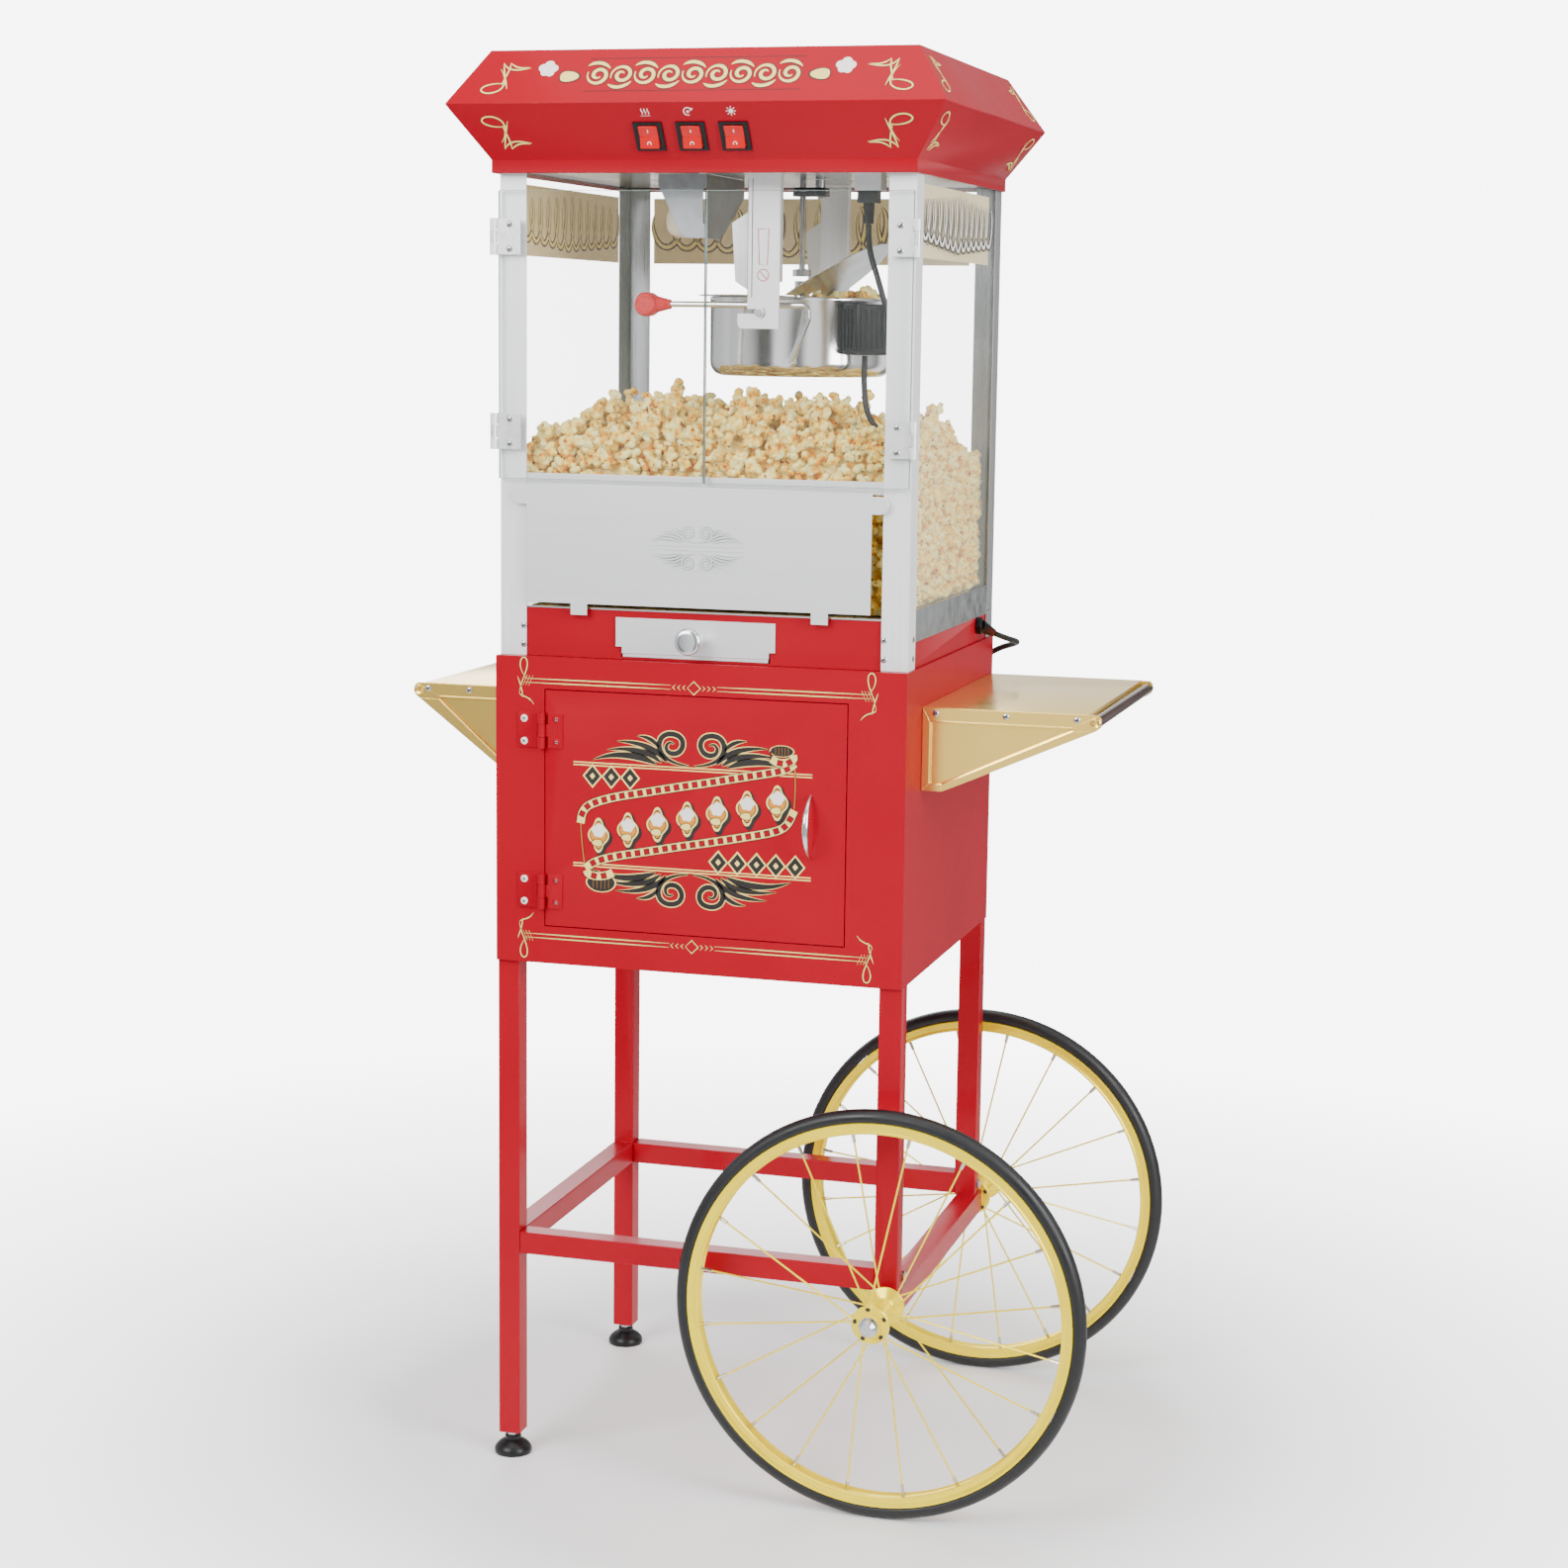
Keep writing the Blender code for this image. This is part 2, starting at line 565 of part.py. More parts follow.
def make_glazing():
    low, high = BASE_TOP + 0.0025, POST_TOP - GAP
    for side, sign in (("left", -1), ("right", 1)):
        xs = sorted((sign * inner_x, sign * (inner_x - GLASS)))
        box(f"side_glass_{side}", xs, (POPPER_FRONT + 0.0045, POPPER_REAR - 0.0055), (low, high), GLAZING)
    rear = POPPER_REAR - SHEET - GAP
    box("rear_glass", (-inner_x + GLASS + GAP, inner_x - GLASS - GAP), (rear - GLASS, rear), (low, high), GLAZING)


def make_base():
    """The sheet base pan: a drawer mouth in front, a cord gland with its relief on the right."""
    xs, ys = (-inner_x, inner_x), (POPPER_FRONT + 0.002, POPPER_REAR - 0.002)
    zs = (CABINET_HIGH + GAP, BASE_TOP)
    base = box("popper_base", xs, ys, zs, RED)
    pan = box("base_pan", inside(xs, SHEET), inside(ys, SHEET), (zs[0] + SHEET, zs[1] + 0.01), helper=True)
    mouth = box("drawer_mouth", (DRAWER_X - 0.0845, DRAWER_X + 0.0845), (ys[0] - 0.01, ys[0] + 0.01),
                (0.9245, 0.9660), helper=True)
    cut(base, pan, mouth)
    nut = cylinder("gland_nut", (GLAND[0] + 0.0020, GLAND[1], GLAND[2]), 0.0085, 0.0080, "X", 12, helper=True)
    start = Vector(GLAND) + Vector((0.0050, 0, 0))
    relief = cylinder("gland_relief", start + RELIEF_WAY * 0.0110, 0.0068, 0.0220, "Z", 12, helper=True,
                      radius2=CORD_RADIUS + 0.0012)
    relief.rotation_mode = "QUATERNION"
    relief.rotation_quaternion = RELIEF_WAY.to_track_quat("Z", "Y")
    join(base, nut, relief)


def make_deck():
    """The cabin floor with rows of slots that let small kernels fall into the drawer."""
    xs = (-inner_x + 0.0002, inner_x - 0.0002)
    deck = box("sifting_deck", xs, (POPPER_FRONT + 0.0022, POPPER_REAR - 0.0022),
               (BASE_TOP + GAP, BASE_TOP + 0.0020), STEEL)
    for row in range(2):
        for column in range(7):
            x = DRAWER_X + (column - 3) * 0.021
            y = -0.135 + row * 0.085
            slot = box(f"sift_slot_{row}{column}", (x - 0.0025, x + 0.0025), (y - 0.03, y + 0.03), (0.9, 1.0),
                       helper=True)
            cut(deck, slot)


def make_drawer():
    """The kernel drawer: an open tray behind a steel front with clipped lower corners, and its knob."""
    left, right = DRAWER_X - DRAWER_HALF, DRAWER_X + DRAWER_HALF
    clip = 0.007
    drawer = box("kernel_drawer", (left, right), (POPPER_FRONT, POPPER_FRONT + 0.0015),
                 (DRAWER_LOW, DRAWER_HIGH), STEEL)
    for name, x in (("left", left), ("right", right)):
        cut(drawer, box(f"drawer_clip_{name}", (x - clip, x + clip), (-0.21, -0.19),
                        (DRAWER_LOW - clip, DRAWER_LOW + clip), helper=True))
    xs, ys, zs = (DRAWER_X - 0.0825, DRAWER_X + 0.0825), (POPPER_FRONT + 0.0010, 0.050), (0.9250, 0.9645)
    body = box("drawer_body", xs, ys, zs, helper=True)
    tray = box("drawer_tray", inside(xs, 0.0012), (ys[0] + 0.0012, ys[1] - 0.0012), (zs[0] + 0.0012, 1.0),
               helper=True)
    join(drawer, body)
    cut(drawer, tray)
    shank = [(0, 0.0245), (0.0105, 0.0245), (0.0140, 0.0230), (0.0148, 0.0200), (0.0140, 0.0165),
             (0.0070, 0.0110), (0.0062, 0.0040), (0.0075, 0.0), (0, 0.0)]
    knob = turned("drawer_knob", shank, "Y", 24, STEEL)
    knob.rotation_euler = (math.pi / 2, 0, 0)
    knob.location = (DRAWER_X - 0.0015, POPPER_FRONT - GAP, 0.9465)


def make_panel_and_sill():
    """The drop-down retaining panel with its stop ears and hinge tabs, and the sill behind it."""
    front, back = PANEL_AXIS[0] - 0.001, PANEL_AXIS[0] + 0.001
    panel = box("retaining_panel", (PANEL_LEFT, PANEL_RIGHT), (front, back), (PANEL_LOW, PANEL_HIGH), STEEL)
    for name, x_in, sign in (("left", PANEL_LEFT, -1), ("right", PANEL_RIGHT, 1)):
        outline = [(x_in - sign * 0.001, -0.0095)] + [
            (x_in + sign * (0.009 + u), v) for u, v in arc((0, 0), 0.0095, -90, 90, 8)]
        outline.append((x_in - sign * 0.001, 0.0095))
        ear = plate(f"panel_ear_{name}", outline, 0.002, helper=True)
        ear.rotation_euler.x = math.pi / 2
        ear.location = (0, PANEL_AXIS[0], 1.0975)
        join(panel, as_mesh(ear))
    for name, x in (("left", -0.138), ("right", 0.134)):
        tab = box(f"panel_tab_{name}", (x - 0.0095, x + 0.0095), (front, back), (0.9692, PANEL_LOW + 0.001),
                  helper=True)
        join(panel, tab)
    pivot_at(panel, (0, *PANEL_AXIS))
    box("front_sill", (-inner_x + GLASS + 0.0005, inner_x - GLASS - 0.0005),
        (POPPER_FRONT + 0.0020, POPPER_FRONT + 0.0050), (1.108, 1.122), STEEL)


# ---------------------------------------------------------------- hood, ceiling and switches
def make_hood():
    """The open-bottomed hood: a band, a hip that flares out to the ridge and one that comes back."""
    rings = ((HOOD_LEVELS[0], 0.0), (HOOD_LEVELS[1], 0.0), (HOOD_LEVELS[2], HOOD_FLARE), (HOOD_LEVELS[3], 0.0))
    shape = bmesh.new()
    loops = []
    for z, flare in rings:
        xs = (-HOOD_X - flare, HOOD_X + flare)
        ys = (HOOD_FRONT - flare, HOOD_REAR + flare)
        corners = ((xs[0], ys[0]), (xs[1], ys[0]), (xs[1], ys[1]), (xs[0], ys[1]))
        loops.append([shape.verts.new((x, y, z)) for x, y in corners])
    for lower, upper in zip(loops, loops[1:]):
        for i in range(4):
            j = (i + 1) % 4
            shape.faces.new((lower[i], lower[j], upper[j], upper[i]))
    shape.faces.new(loops[-1])
    hood = add("hood", mesh_from("hood", shape), RED)
    wall = hood.modifiers.new("wall", "SOLIDIFY")
    wall.thickness = SHEET
    wall.offset = -1.0
    wall.use_even_offset = True
    for i, x in enumerate(ROCKER_X):
        hole = box(f"rocker_hole_{i}", (-0.0112, 0.0112), (-0.02, 0.02), (-0.0143, 0.0143), helper=True)
        hole.location = (x, rocker_y(), ROCKER_Z)
        hole.rotation_euler.x = HOOD_SLOPE
        cut(hood, hole)


def rocker_y():
    """Where the lower hip's outer face is, at the height of the switches."""
    share = (ROCKER_Z - HOOD_LEVELS[1]) / (HOOD_LEVELS[2] - HOOD_LEVELS[1])
    return HOOD_FRONT - HOOD_FLARE * share


def make_rockers():
    """Three rocker switches, each tipped to one side of its own pivot."""
    tip = math.radians(-8)
    profile = [(-0.0125, -0.0050), (0.0, -0.0026), (0.0125, -0.0050), (0.0110, 0.0070), (-0.0110, 0.0070)]
    for name, x in zip(("heat", "motor", "light"), ROCKER_X):
        rocker = plate(f"rocker_{name}", [(v, u) for u, v in profile], 0.0208)
        rocker = as_mesh(rocker)
        rocker.data.materials.append(SWITCH_RED)
        rocker.data.transform(Matrix(((0, 0, 1, 0), (1, 0, 0, 0), (0, 1, 0, 0), (0, 0, 0, 1))))
        rocker.location = (x, rocker_y(), ROCKER_Z)
        rocker.rotation_euler.x = HOOD_SLOPE + tip


def make_ceiling():
    """The plate over the cabin that carries the pan's arms, the gear motor and the lead's socket."""
    xs = (-HOOD_X + SHEET + 0.0008, HOOD_X - SHEET - 0.0008)
    ys = (HOOD_FRONT + SHEET + 0.0008, HOOD_REAR - SHEET - 0.0008)
    zs = (POST_TOP + GAP, POST_TOP + 0.0023)
    ceiling = box("ceiling_plate", xs, ys, zs, STEEL)
    socket = box("lead_socket", (0.1345, 0.1635), (-0.0915, -0.0665), (1.4290, zs[0] + 0.001), helper=True)
    shaft_hole = cylinder("shaft_hole", (PAN_X, PAN_Y, zs[0]), 0.0060, 0.02, sides=12, helper=True)
    join(ceiling, socket)
    cut(ceiling, shaft_hole)
    motor = box("gear_motor", (PAN_X - 0.045, PAN_X + 0.055), (PAN_Y - 0.04, PAN_Y + 0.04),
                (zs[1] + GAP, zs[1] + 0.055), BLACK)
    can = cylinder("motor_can", (PAN_X + 0.01, PAN_Y, zs[1] + 0.08), 0.034, 0.054, sides=20, helper=True)
    join(motor, can)
    cut(motor, cylinder("motor_bore", (PAN_X, PAN_Y, zs[1]), 0.0045, 0.05, sides=12, helper=True))


def make_lamp():
    """The cabin lamp in its holder, and the folded shield that keeps its light off the glass doors."""
    holder = turned("lamp", [(0, 1.4450), (0.014, 1.4450), (0.014, 1.4270), (0.0125, 1.4250), (0.0200, 1.4060),
                             (0.0225, 1.3960), (0.0190, 1.3850), (0.0100, 1.3790), (0, 1.3780)], "Z", 16, LAMP)
    holder.location = (-0.066, -0.062, 0)
    fold_x, fold_y = -0.0245, -0.120
    top, low = POST_TOP, 1.3765
    front = plate("lamp_shield_front", [(0, top), (-0.0545, top), (-0.0545, top - 0.012)]
                  + arc((-0.0180, low + 0.014), 0.014, 210, 270, 5) + [(0, low)], 0.0012)
    front.rotation_euler.x = math.pi / 2
    front.location = (fold_x, fold_y, 0)
    shield = as_mesh(front)
    shield.name = "lamp_shield"
    shield.data.materials.append(STEEL)
    side = plate("lamp_shield_side", [(-0.0006, top), (-0.0006, low), (0.050, low), (0.072, low + 0.010),
                                      (0.1400, top - 0.020), (0.1400, top)], 0.0012, helper=True)
    side.rotation_euler = (math.pi / 2, 0, math.pi / 2)
    side.location = (fold_x, fold_y, 0)
    join(shield, as_mesh(side))
    slot = box("shield_slot", (fold_x - 0.003, fold_x + 0.003), (fold_y - 0.003, fold_y + 0.003), (1.392, 1.430),
               helper=True)
    cut(shield, slot)


# ---------------------------------------------------------------- pan
def make_arms():
    """Two channel arms down from the ceiling, each with a notch that holds one of the pan's pins."""
    for name, side in (("front", -1), ("rear", 1)):
        y = PAN_Y + side * ARM_SPREAD
        low = 1.280
        arm = box(f"pan_arm_{name}", (PAN_X - 0.0190, PAN_X + 0.0165), (y - 0.0010, y + 0.0010),
                  (low, POST_TOP - GAP), ALUMINIUM)
        foot = plate(f"arm_{name}_foot", arc((PAN_X - 0.0240, low + 0.006), 0.006, 180, 270, 4)
                     + [(PAN_X - 0.0180, low), (PAN_X - 0.0180, 1.3000), (PAN_X - 0.0300, 1.3000)], 0.0020,
                     helper=True)
        foot.rotation_euler.x = math.pi / 2
        foot.location.y = y
        flange_y = (y, y + 0.010) if side < 0 else (y - 0.010, y)
        flange = box(f"arm_{name}_flange", (PAN_X + 0.0150, PAN_X + 0.0170), flange_y,
                     (1.3300, POST_TOP - GAP), helper=True)
        gusset = plate(f"arm_{name}_gusset", [(PAN_X - 0.0170, 1.405), (PAN_X - 0.0370, 1.392),
                       (PAN_X - 0.0330, 1.3300), (PAN_X - 0.0170, 1.3200)], 0.0018, helper=True)
        gusset.rotation_euler.x = math.pi / 2
        gusset.location.y = y
        join(arm, flange, as_mesh(gusset), as_mesh(foot))
        notch = cylinder(f"arm_{name}_notch", (PIVOT_X, y, PIVOT_Z), 0.00415, 0.02, "Y", 16, helper=True)
        throat = box(f"arm_{name}_throat", (PIVOT_X - 0.03, PIVOT_X), (y - 0.01, y + 0.01),
                     (PIVOT_Z - 0.0010, PIVOT_Z + 0.0040), helper=True)
        cut(arm, notch, throat)


def make_pan():
    """The popping pan: a spun bowl with a rolled rim, its crossbar and the two pivot pins."""
    r, low, high, wall = PAN_RADIUS, PAN_LOW, PAN_HIGH, 0.0016
    outer = [(r, high), (r, low + 0.012)] + [(u, v) for u, v in arc((r - 0.012, low + 0.012), 0.012, -20, -90, 4)]
    inner = [(u, v) for u, v in arc((r - 0.012, low + 0.012), 0.012 - wall, -90, 0, 4)]
    profile = outer + [(0, low)]
    bowl = turned("pan", profile + [(0, low + wall)] + inner + [(r - wall, high)], "Z", 40, CHROME, closed=True)
    bowl.location = (PAN_X, PAN_Y, 0)
    bar = box("crossbar", (PAN_X - 0.008, PAN_X + 0.008), (PAN_Y - r + 0.0005, PAN_Y + r - 0.0005),
              (high - 0.0030, high - 0.0002), helper=True)
    boss = cylinder("crossbar_boss", (PAN_X, PAN_Y, high + 0.0015), 0.0090, 0.0110, sides=16, helper=True)
    join(bowl, bar, boss)
    for name, side in (("front", -1), ("rear", 1)):
        y = PAN_Y + side * (r + ARM_SPREAD + 0.006) / 2
        pin = cylinder(f"pan_pin_{name}", (PIVOT_X, y, PIVOT_Z), 0.0040, ARM_SPREAD + 0.007 - r, "Y", 12,
                       helper=True)
        join(bowl, pin)
    cut(bowl, cylinder("stirrer_bore", (PAN_X, PAN_Y, high), 0.0036, 0.05, sides=12, helper=True))
    box_way = math.radians(-37)
    terminal = box("terminal_box", (0, 0.026), (-0.0215, 0.0215), (1.2530, 1.3080), BLACK)
    terminal.data.transform(Matrix.Translation((r + 0.0145, 0, 0)))
    terminal.location = (PAN_X, PAN_Y, 1.2805)
    terminal.rotation_euler.z = box_way


def make_handle():
    """The tipping handle: a red knob on a rod that runs past the pan and bends down to its wall."""
    y = HANDLE_Y
    rod = [(-0.0700, y, 1.3055), (0.0850, y, 1.3055)]
    rod += [(0.0850 + u, y, 1.2985 + v) for u, v in arc((0, 0), 0.0070, 75, 5, 4)]
    rod += [(0.0900, y, 1.2900), (0.0690, y + 0.0020, 1.2420)]
    handle = tube("tip_handle", rod, 0.0033, CHROME)
    handle = as_mesh(handle)
    grip = cylinder("handle_ferrule", (-0.0760, y, 1.3052), 0.0100, 0.0200, "X", 16, helper=True, radius2=0.0052)
    knob = turned("handle_knob", [(0, 0.012), (0.0100, 0.012), (0.0126, 0.0100), (0.0132, 0.0070),
                                  (0.0132, -0.0070), (0.0126, -0.0100), (0.0100, -0.012), (0, -0.012)],
                  "Y", 24, helper=True)
    knob.location = (-0.0930, y, 1.3050)
    stub = cylinder("handle_stub", (0.0690, -0.10535, 1.2440), 0.0045, 0.0163, "Y", 12, helper=True)
    join(handle, grip, knob, stub)
    pivot_at(handle, (PIVOT_X, PAN_Y, PIVOT_Z))


def make_lids():
    """Two half-round lids hinged on the crossbar: the left one shut, the right one half open."""
    reach = 0.1055
    for side, sign, raised in (("left", -1, 0), ("right", 1, 34)):
        hinge_x = PAN_X + sign * 0.0105
        outline = [(sign * u, v) for u, v in arc((0, 0), reach, -80, 80, 16)]
        inner = arc((-0.0105, 0), 0.0240, 60, -60, 6)
        outline += [(sign * 0.001, reach * 0.985), (sign * 0.001, 0.0215)]
        outline += [(sign * max(u, 0.001), v) for u, v in inner]
        outline += [(sign * 0.001, -0.0215), (sign * 0.001, -reach * 0.985)]
        lid = as_mesh(plate(f"pan_lid_{side}", outline, 0.0012))
        lid.data.materials.append(STEEL)
        lid.location = (hinge_x, PAN_Y, PAN_HIGH + 0.0014)
        lid.rotation_euler.y = -math.radians(raised)


def make_drive():
    """The drive shaft from the gear motor, and the stirrer that its dog turns inside the pan."""
    shaft = turned("drive_shaft", [(0, 1.4700), (0.0035, 1.4700), (0.0035, 1.3470), (0.0105, 1.3460),
                                   (0.0105, 1.3385), (0, 1.3385)], "Z", 16, CHROME)
    shaft.location = (PAN_X, PAN_Y, 0)
    stirrer = turned("stirrer", [(0, 1.3335), (0.0080, 1.3335), (0.0080, 1.3224), (0.0032, 1.3224),
                                 (0.0032, 1.2360), (0.0070, 1.2350), (0.0070, 1.2310), (0, 1.2310)],
                     "Z", 16, CHROME)
    stirrer.location = (PAN_X, PAN_Y, 0)
    blade = box("stirrer_blade", (PAN_X - 0.085, PAN_X + 0.085), (PAN_Y - 0.0030, PAN_Y + 0.0030),
                (1.2314, 1.2345), helper=True)
    join(stirrer, blade)


# ---------------------------------------------------------------- cords
LEAD_ROUTE = [(0.1475, -0.0790, 1.3932), (0.1475, -0.0790, 1.3830), (0.1530, -0.0900, 1.3620),
              (0.1640, -0.1010, 1.3360), (0.1760, -0.1030, 1.3000), (0.1900, -0.1010, 1.2580),
              (0.1970, -0.0970, 1.2200), (0.1930, -0.0920, 1.1880), (0.1770, -0.0860, 1.1720),
              (0.1590, -0.0790, 1.1760), (0.1470, -0.0740, 1.1960), (0.1430, -0.0700, 1.2240),
              (0.1430, -0.0690, 1.2524)]

MAINS_ROUTE = [(0.2465, 0.1548, 0.9310), (0.2500, 0.1612, 0.9285), (0.2590, 0.1760, 0.9230),
               (0.2650, 0.1960, 0.9180), (0.2570, 0.2170, 0.9130), (0.2360, 0.2270, 0.9050),
               (0.2120, 0.2290, 0.8890), (0.1930, 0.2300, 0.8640), (0.1820, 0.2310, 0.8360),
               (0.1770, 0.2265, 0.8120), (0.1760, 0.2115, 0.7920), (0.1740, 0.1930, 0.7740),
               (0.1700, 0.1790, 0.7450), (0.1660, 0.1720, 0.7050), (0.1630, 0.1670, 0.6600),
               (0.1580, 0.1560, 0.6200), (0.1480, 0.1340, 0.5950), (0.1330, 0.1060, 0.5868),
               (0.1130, 0.0800, 0.5855), (0.0860, 0.0680, 0.5853)]


def make_cords():
    """The mains cord with its coil and plug inside the cabinet, and the pan's lead with its plug."""
    tube("mains_cord", smooth_route(MAINS_ROUTE, 0.0165), CORD_RADIUS, BLACK)
    floor = CABINET_LOW + SHEET + GAP
    ring = [(COIL_RADIUS + 0.0074, floor + 0.0210), (COIL_RADIUS + 0.0074, floor),
            (COIL_RADIUS - 0.0074, floor), (COIL_RADIUS - 0.0074, floor + 0.0210)]
    coil = turned("mains_coil", ring, "Z", 32, BLACK, closed=True)
    coil.location = (*COIL_CENTRE, 0)
    plug = box("mains_plug", (-0.0520, -0.0060), (-0.052, -0.024), (floor, floor + 0.022), BLACK)
    pins = [box(f"mains_pin_{i}", (-0.0690, -0.0510), (y - 0.0032, y + 0.0032), (floor + 0.0102, floor + 0.0118),
                helper=True) for i, y in enumerate((-0.0443, -0.0317))]
    join(plug, *pins)
    tube("pan_lead", smooth_route(LEAD_ROUTE, 0.0085), LEAD_RADIUS, BLACK)
    lead_plug = cylinder("lead_plug", (0.1475, -0.0790, 1.4060), 0.0052, 0.0244, "Z", 12, BLACK,
                         radius2=0.0066)
    body = box("lead_plug_body", (0.1370, 0.1580), (-0.0890, -0.0690), (1.4160, 1.4286), helper=True)
    join(lead_plug, body)


make_left_leg_frame()
make_right_leg_frame()
make_rail("rail_front", flip(leg_y))
make_rail("rail_rear", leg_y)
make_foot("foot_front_left", flip(leg_y))
make_foot("foot_rear_left", leg_y)
for place, side in (("front", -1), ("rear", 1)):
    make_wheel(f"wheel_{place}", side)
    make_tyre(f"tyre_{place}", side)
make_axle()
make_cabinet()
make_cabinet_door()
make_door_pull()
make_shelf("right")
make_shelf("left")
for place, side in (("front", -1), ("rear", 1)):
    make_post(f"post_{place}_left", -1, side)
    make_post(f"post_{place}_right", 1, side)
make_glass_door("left")
make_glass_door("right")
make_glazing()
make_base()
make_deck()
make_drawer()
make_panel_and_sill()
make_hood()
make_rockers()
make_ceiling()
make_lamp()
make_arms()
make_pan()
make_handle()
make_lids()
make_drive()
make_cords()
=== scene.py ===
"""Looks of the popcorn cart: camera, light, materials, trim, cords and popped corn around the CAD frame.

Metres, in the CAD's own frame. Places are given from the middle of the cabinet, as the CAD does,
and at(x, y, z) turns them into the frame's coordinates. Points given to mm(...) are in millimetres.
"""
import math
import random

import bmesh
import bpy
import numpy as np
from mathutils import Euler, Matrix, Vector


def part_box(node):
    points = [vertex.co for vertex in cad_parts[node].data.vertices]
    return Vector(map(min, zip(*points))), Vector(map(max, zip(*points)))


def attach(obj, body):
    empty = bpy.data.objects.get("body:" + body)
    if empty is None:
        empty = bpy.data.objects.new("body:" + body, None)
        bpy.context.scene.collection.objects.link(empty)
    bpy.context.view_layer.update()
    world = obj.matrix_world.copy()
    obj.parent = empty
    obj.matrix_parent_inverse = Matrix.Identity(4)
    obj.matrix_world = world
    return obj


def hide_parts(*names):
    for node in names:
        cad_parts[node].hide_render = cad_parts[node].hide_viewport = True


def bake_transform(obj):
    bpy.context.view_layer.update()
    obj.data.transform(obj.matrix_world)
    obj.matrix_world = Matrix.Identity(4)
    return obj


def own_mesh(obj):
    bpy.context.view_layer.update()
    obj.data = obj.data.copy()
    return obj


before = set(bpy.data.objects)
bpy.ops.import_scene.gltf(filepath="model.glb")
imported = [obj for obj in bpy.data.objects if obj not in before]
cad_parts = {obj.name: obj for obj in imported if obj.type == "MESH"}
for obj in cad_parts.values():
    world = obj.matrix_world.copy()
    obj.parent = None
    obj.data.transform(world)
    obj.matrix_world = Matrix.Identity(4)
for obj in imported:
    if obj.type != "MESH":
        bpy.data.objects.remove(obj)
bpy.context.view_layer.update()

SHELL_LOW, SHELL_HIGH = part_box("cabinet_shell")
MIDDLE_X = (SHELL_LOW.x + SHELL_HIGH.x) / 2
CABINET_X = SHELL_HIGH.x - MIDDLE_X
CABINET_REAR = SHELL_HIGH.y
CABINET_FRONT = -CABINET_REAR
POST_FRONT, POST_REAR = -0.2015, 0.2115
PAN_X, PAN_Y = 0.049, 0.005
SIDES = (("left", -1), ("right", 1))


def at(x, y, z):
    return Vector((MIDDLE_X + x, y, z))


def middle_of(node):
    low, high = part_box(node)
    return (low + high) / 2


def link(name, data):
    made = bpy.data.objects.new(name, data)
    bpy.context.scene.collection.objects.link(made)
    return made


# ---------------------------------------------------------------- shader nodes
def connect(tree, node, inputs):
    """Set a node's inputs, or link them where the value is another node's output."""
    for key, value in inputs.items():
        if isinstance(value, bpy.types.NodeSocket):
            tree.links.new(value, node.inputs[key])
        else:
            node.inputs[key].default_value = value


def add_node(tree, kind, inputs, output=0):
    node = tree.nodes.new("ShaderNode" + kind)
    connect(tree, node, inputs)
    return node.outputs[output]


def noise(tree, scale, stretch=(1, 1, 1), detail=4.0):
    """A noise texture on the object's own coordinates, stretched along its axes."""
    place = add_node(tree, "TexCoord", {}, "Object")
    place = add_node(tree, "Mapping", {"Vector": place, "Scale": stretch})
    return add_node(tree, "TexNoise", {"Vector": place, "Scale": scale, "Detail": detail, "Roughness": 0.55})


def ramp(tree, value, stops):
    colour = add_node(tree, "ValToRGB", {"Fac": value})
    elements = colour.node.color_ramp.elements
    while len(elements) < len(stops):
        elements.new(0.5)
    for element, (place, shade) in zip(elements, stops):
        element.position = place
        element.color = (*shade, 1.0)
    return colour


def scaled(tree, value, low, high, start=0.3, end=0.7):
    return add_node(tree, "MapRange", {"Value": value, "From Min": start, "From Max": end, "To Min": low,
                                       "To Max": high})


def bumps(tree, height, distance, strength):
    return add_node(tree, "Bump", {"Height": height, "Distance": distance, "Strength": strength})


def srgb(colour):
    return tuple(c / 255 / 12.92 if c <= 10 else ((c / 255 + 0.055) / 1.055) ** 2.4 for c in colour)


def start_material(name):
    made = bpy.data.materials.new(name)
    made.use_nodes = True
    return made, made.node_tree, made.node_tree.nodes["Principled BSDF"]


# ---------------------------------------------------------------- camera, floor and light
def make_camera():
    yaw, pitch, roll = (math.radians(a) for a in (16.19, 8.754, 0.752))
    forward = Vector((-math.sin(yaw) * math.cos(pitch), math.cos(yaw) * math.cos(pitch), -math.sin(pitch)))
    level = Vector((math.cos(yaw), math.sin(yaw), 0))
    above = level.cross(forward)
    right = level * math.cos(roll) + above * math.sin(roll)
    up = -level * math.sin(roll) + above * math.cos(roll)
    data = bpy.data.cameras.new("camera")
    data.sensor_width = 36.0
    data.lens = 67.82
    camera = link("camera", data)
    camera.matrix_world = (Matrix.Translation(at(0.9738, -3.2255, 1.2800))
                           @ Matrix((right, up, -forward)).transposed().to_4x4())
    bpy.context.scene.camera = camera


def make_light(name, place, aim, size, power):
    data = bpy.data.lights.new(name, "AREA")
    data.shape = "RECTANGLE"
    data.size, data.size_y = size
    data.energy = power
    light = link(name, data)
    light.location = place
    light.rotation_euler = (Vector(aim) - Vector(place)).to_track_quat("-Z", "Y").to_euler()


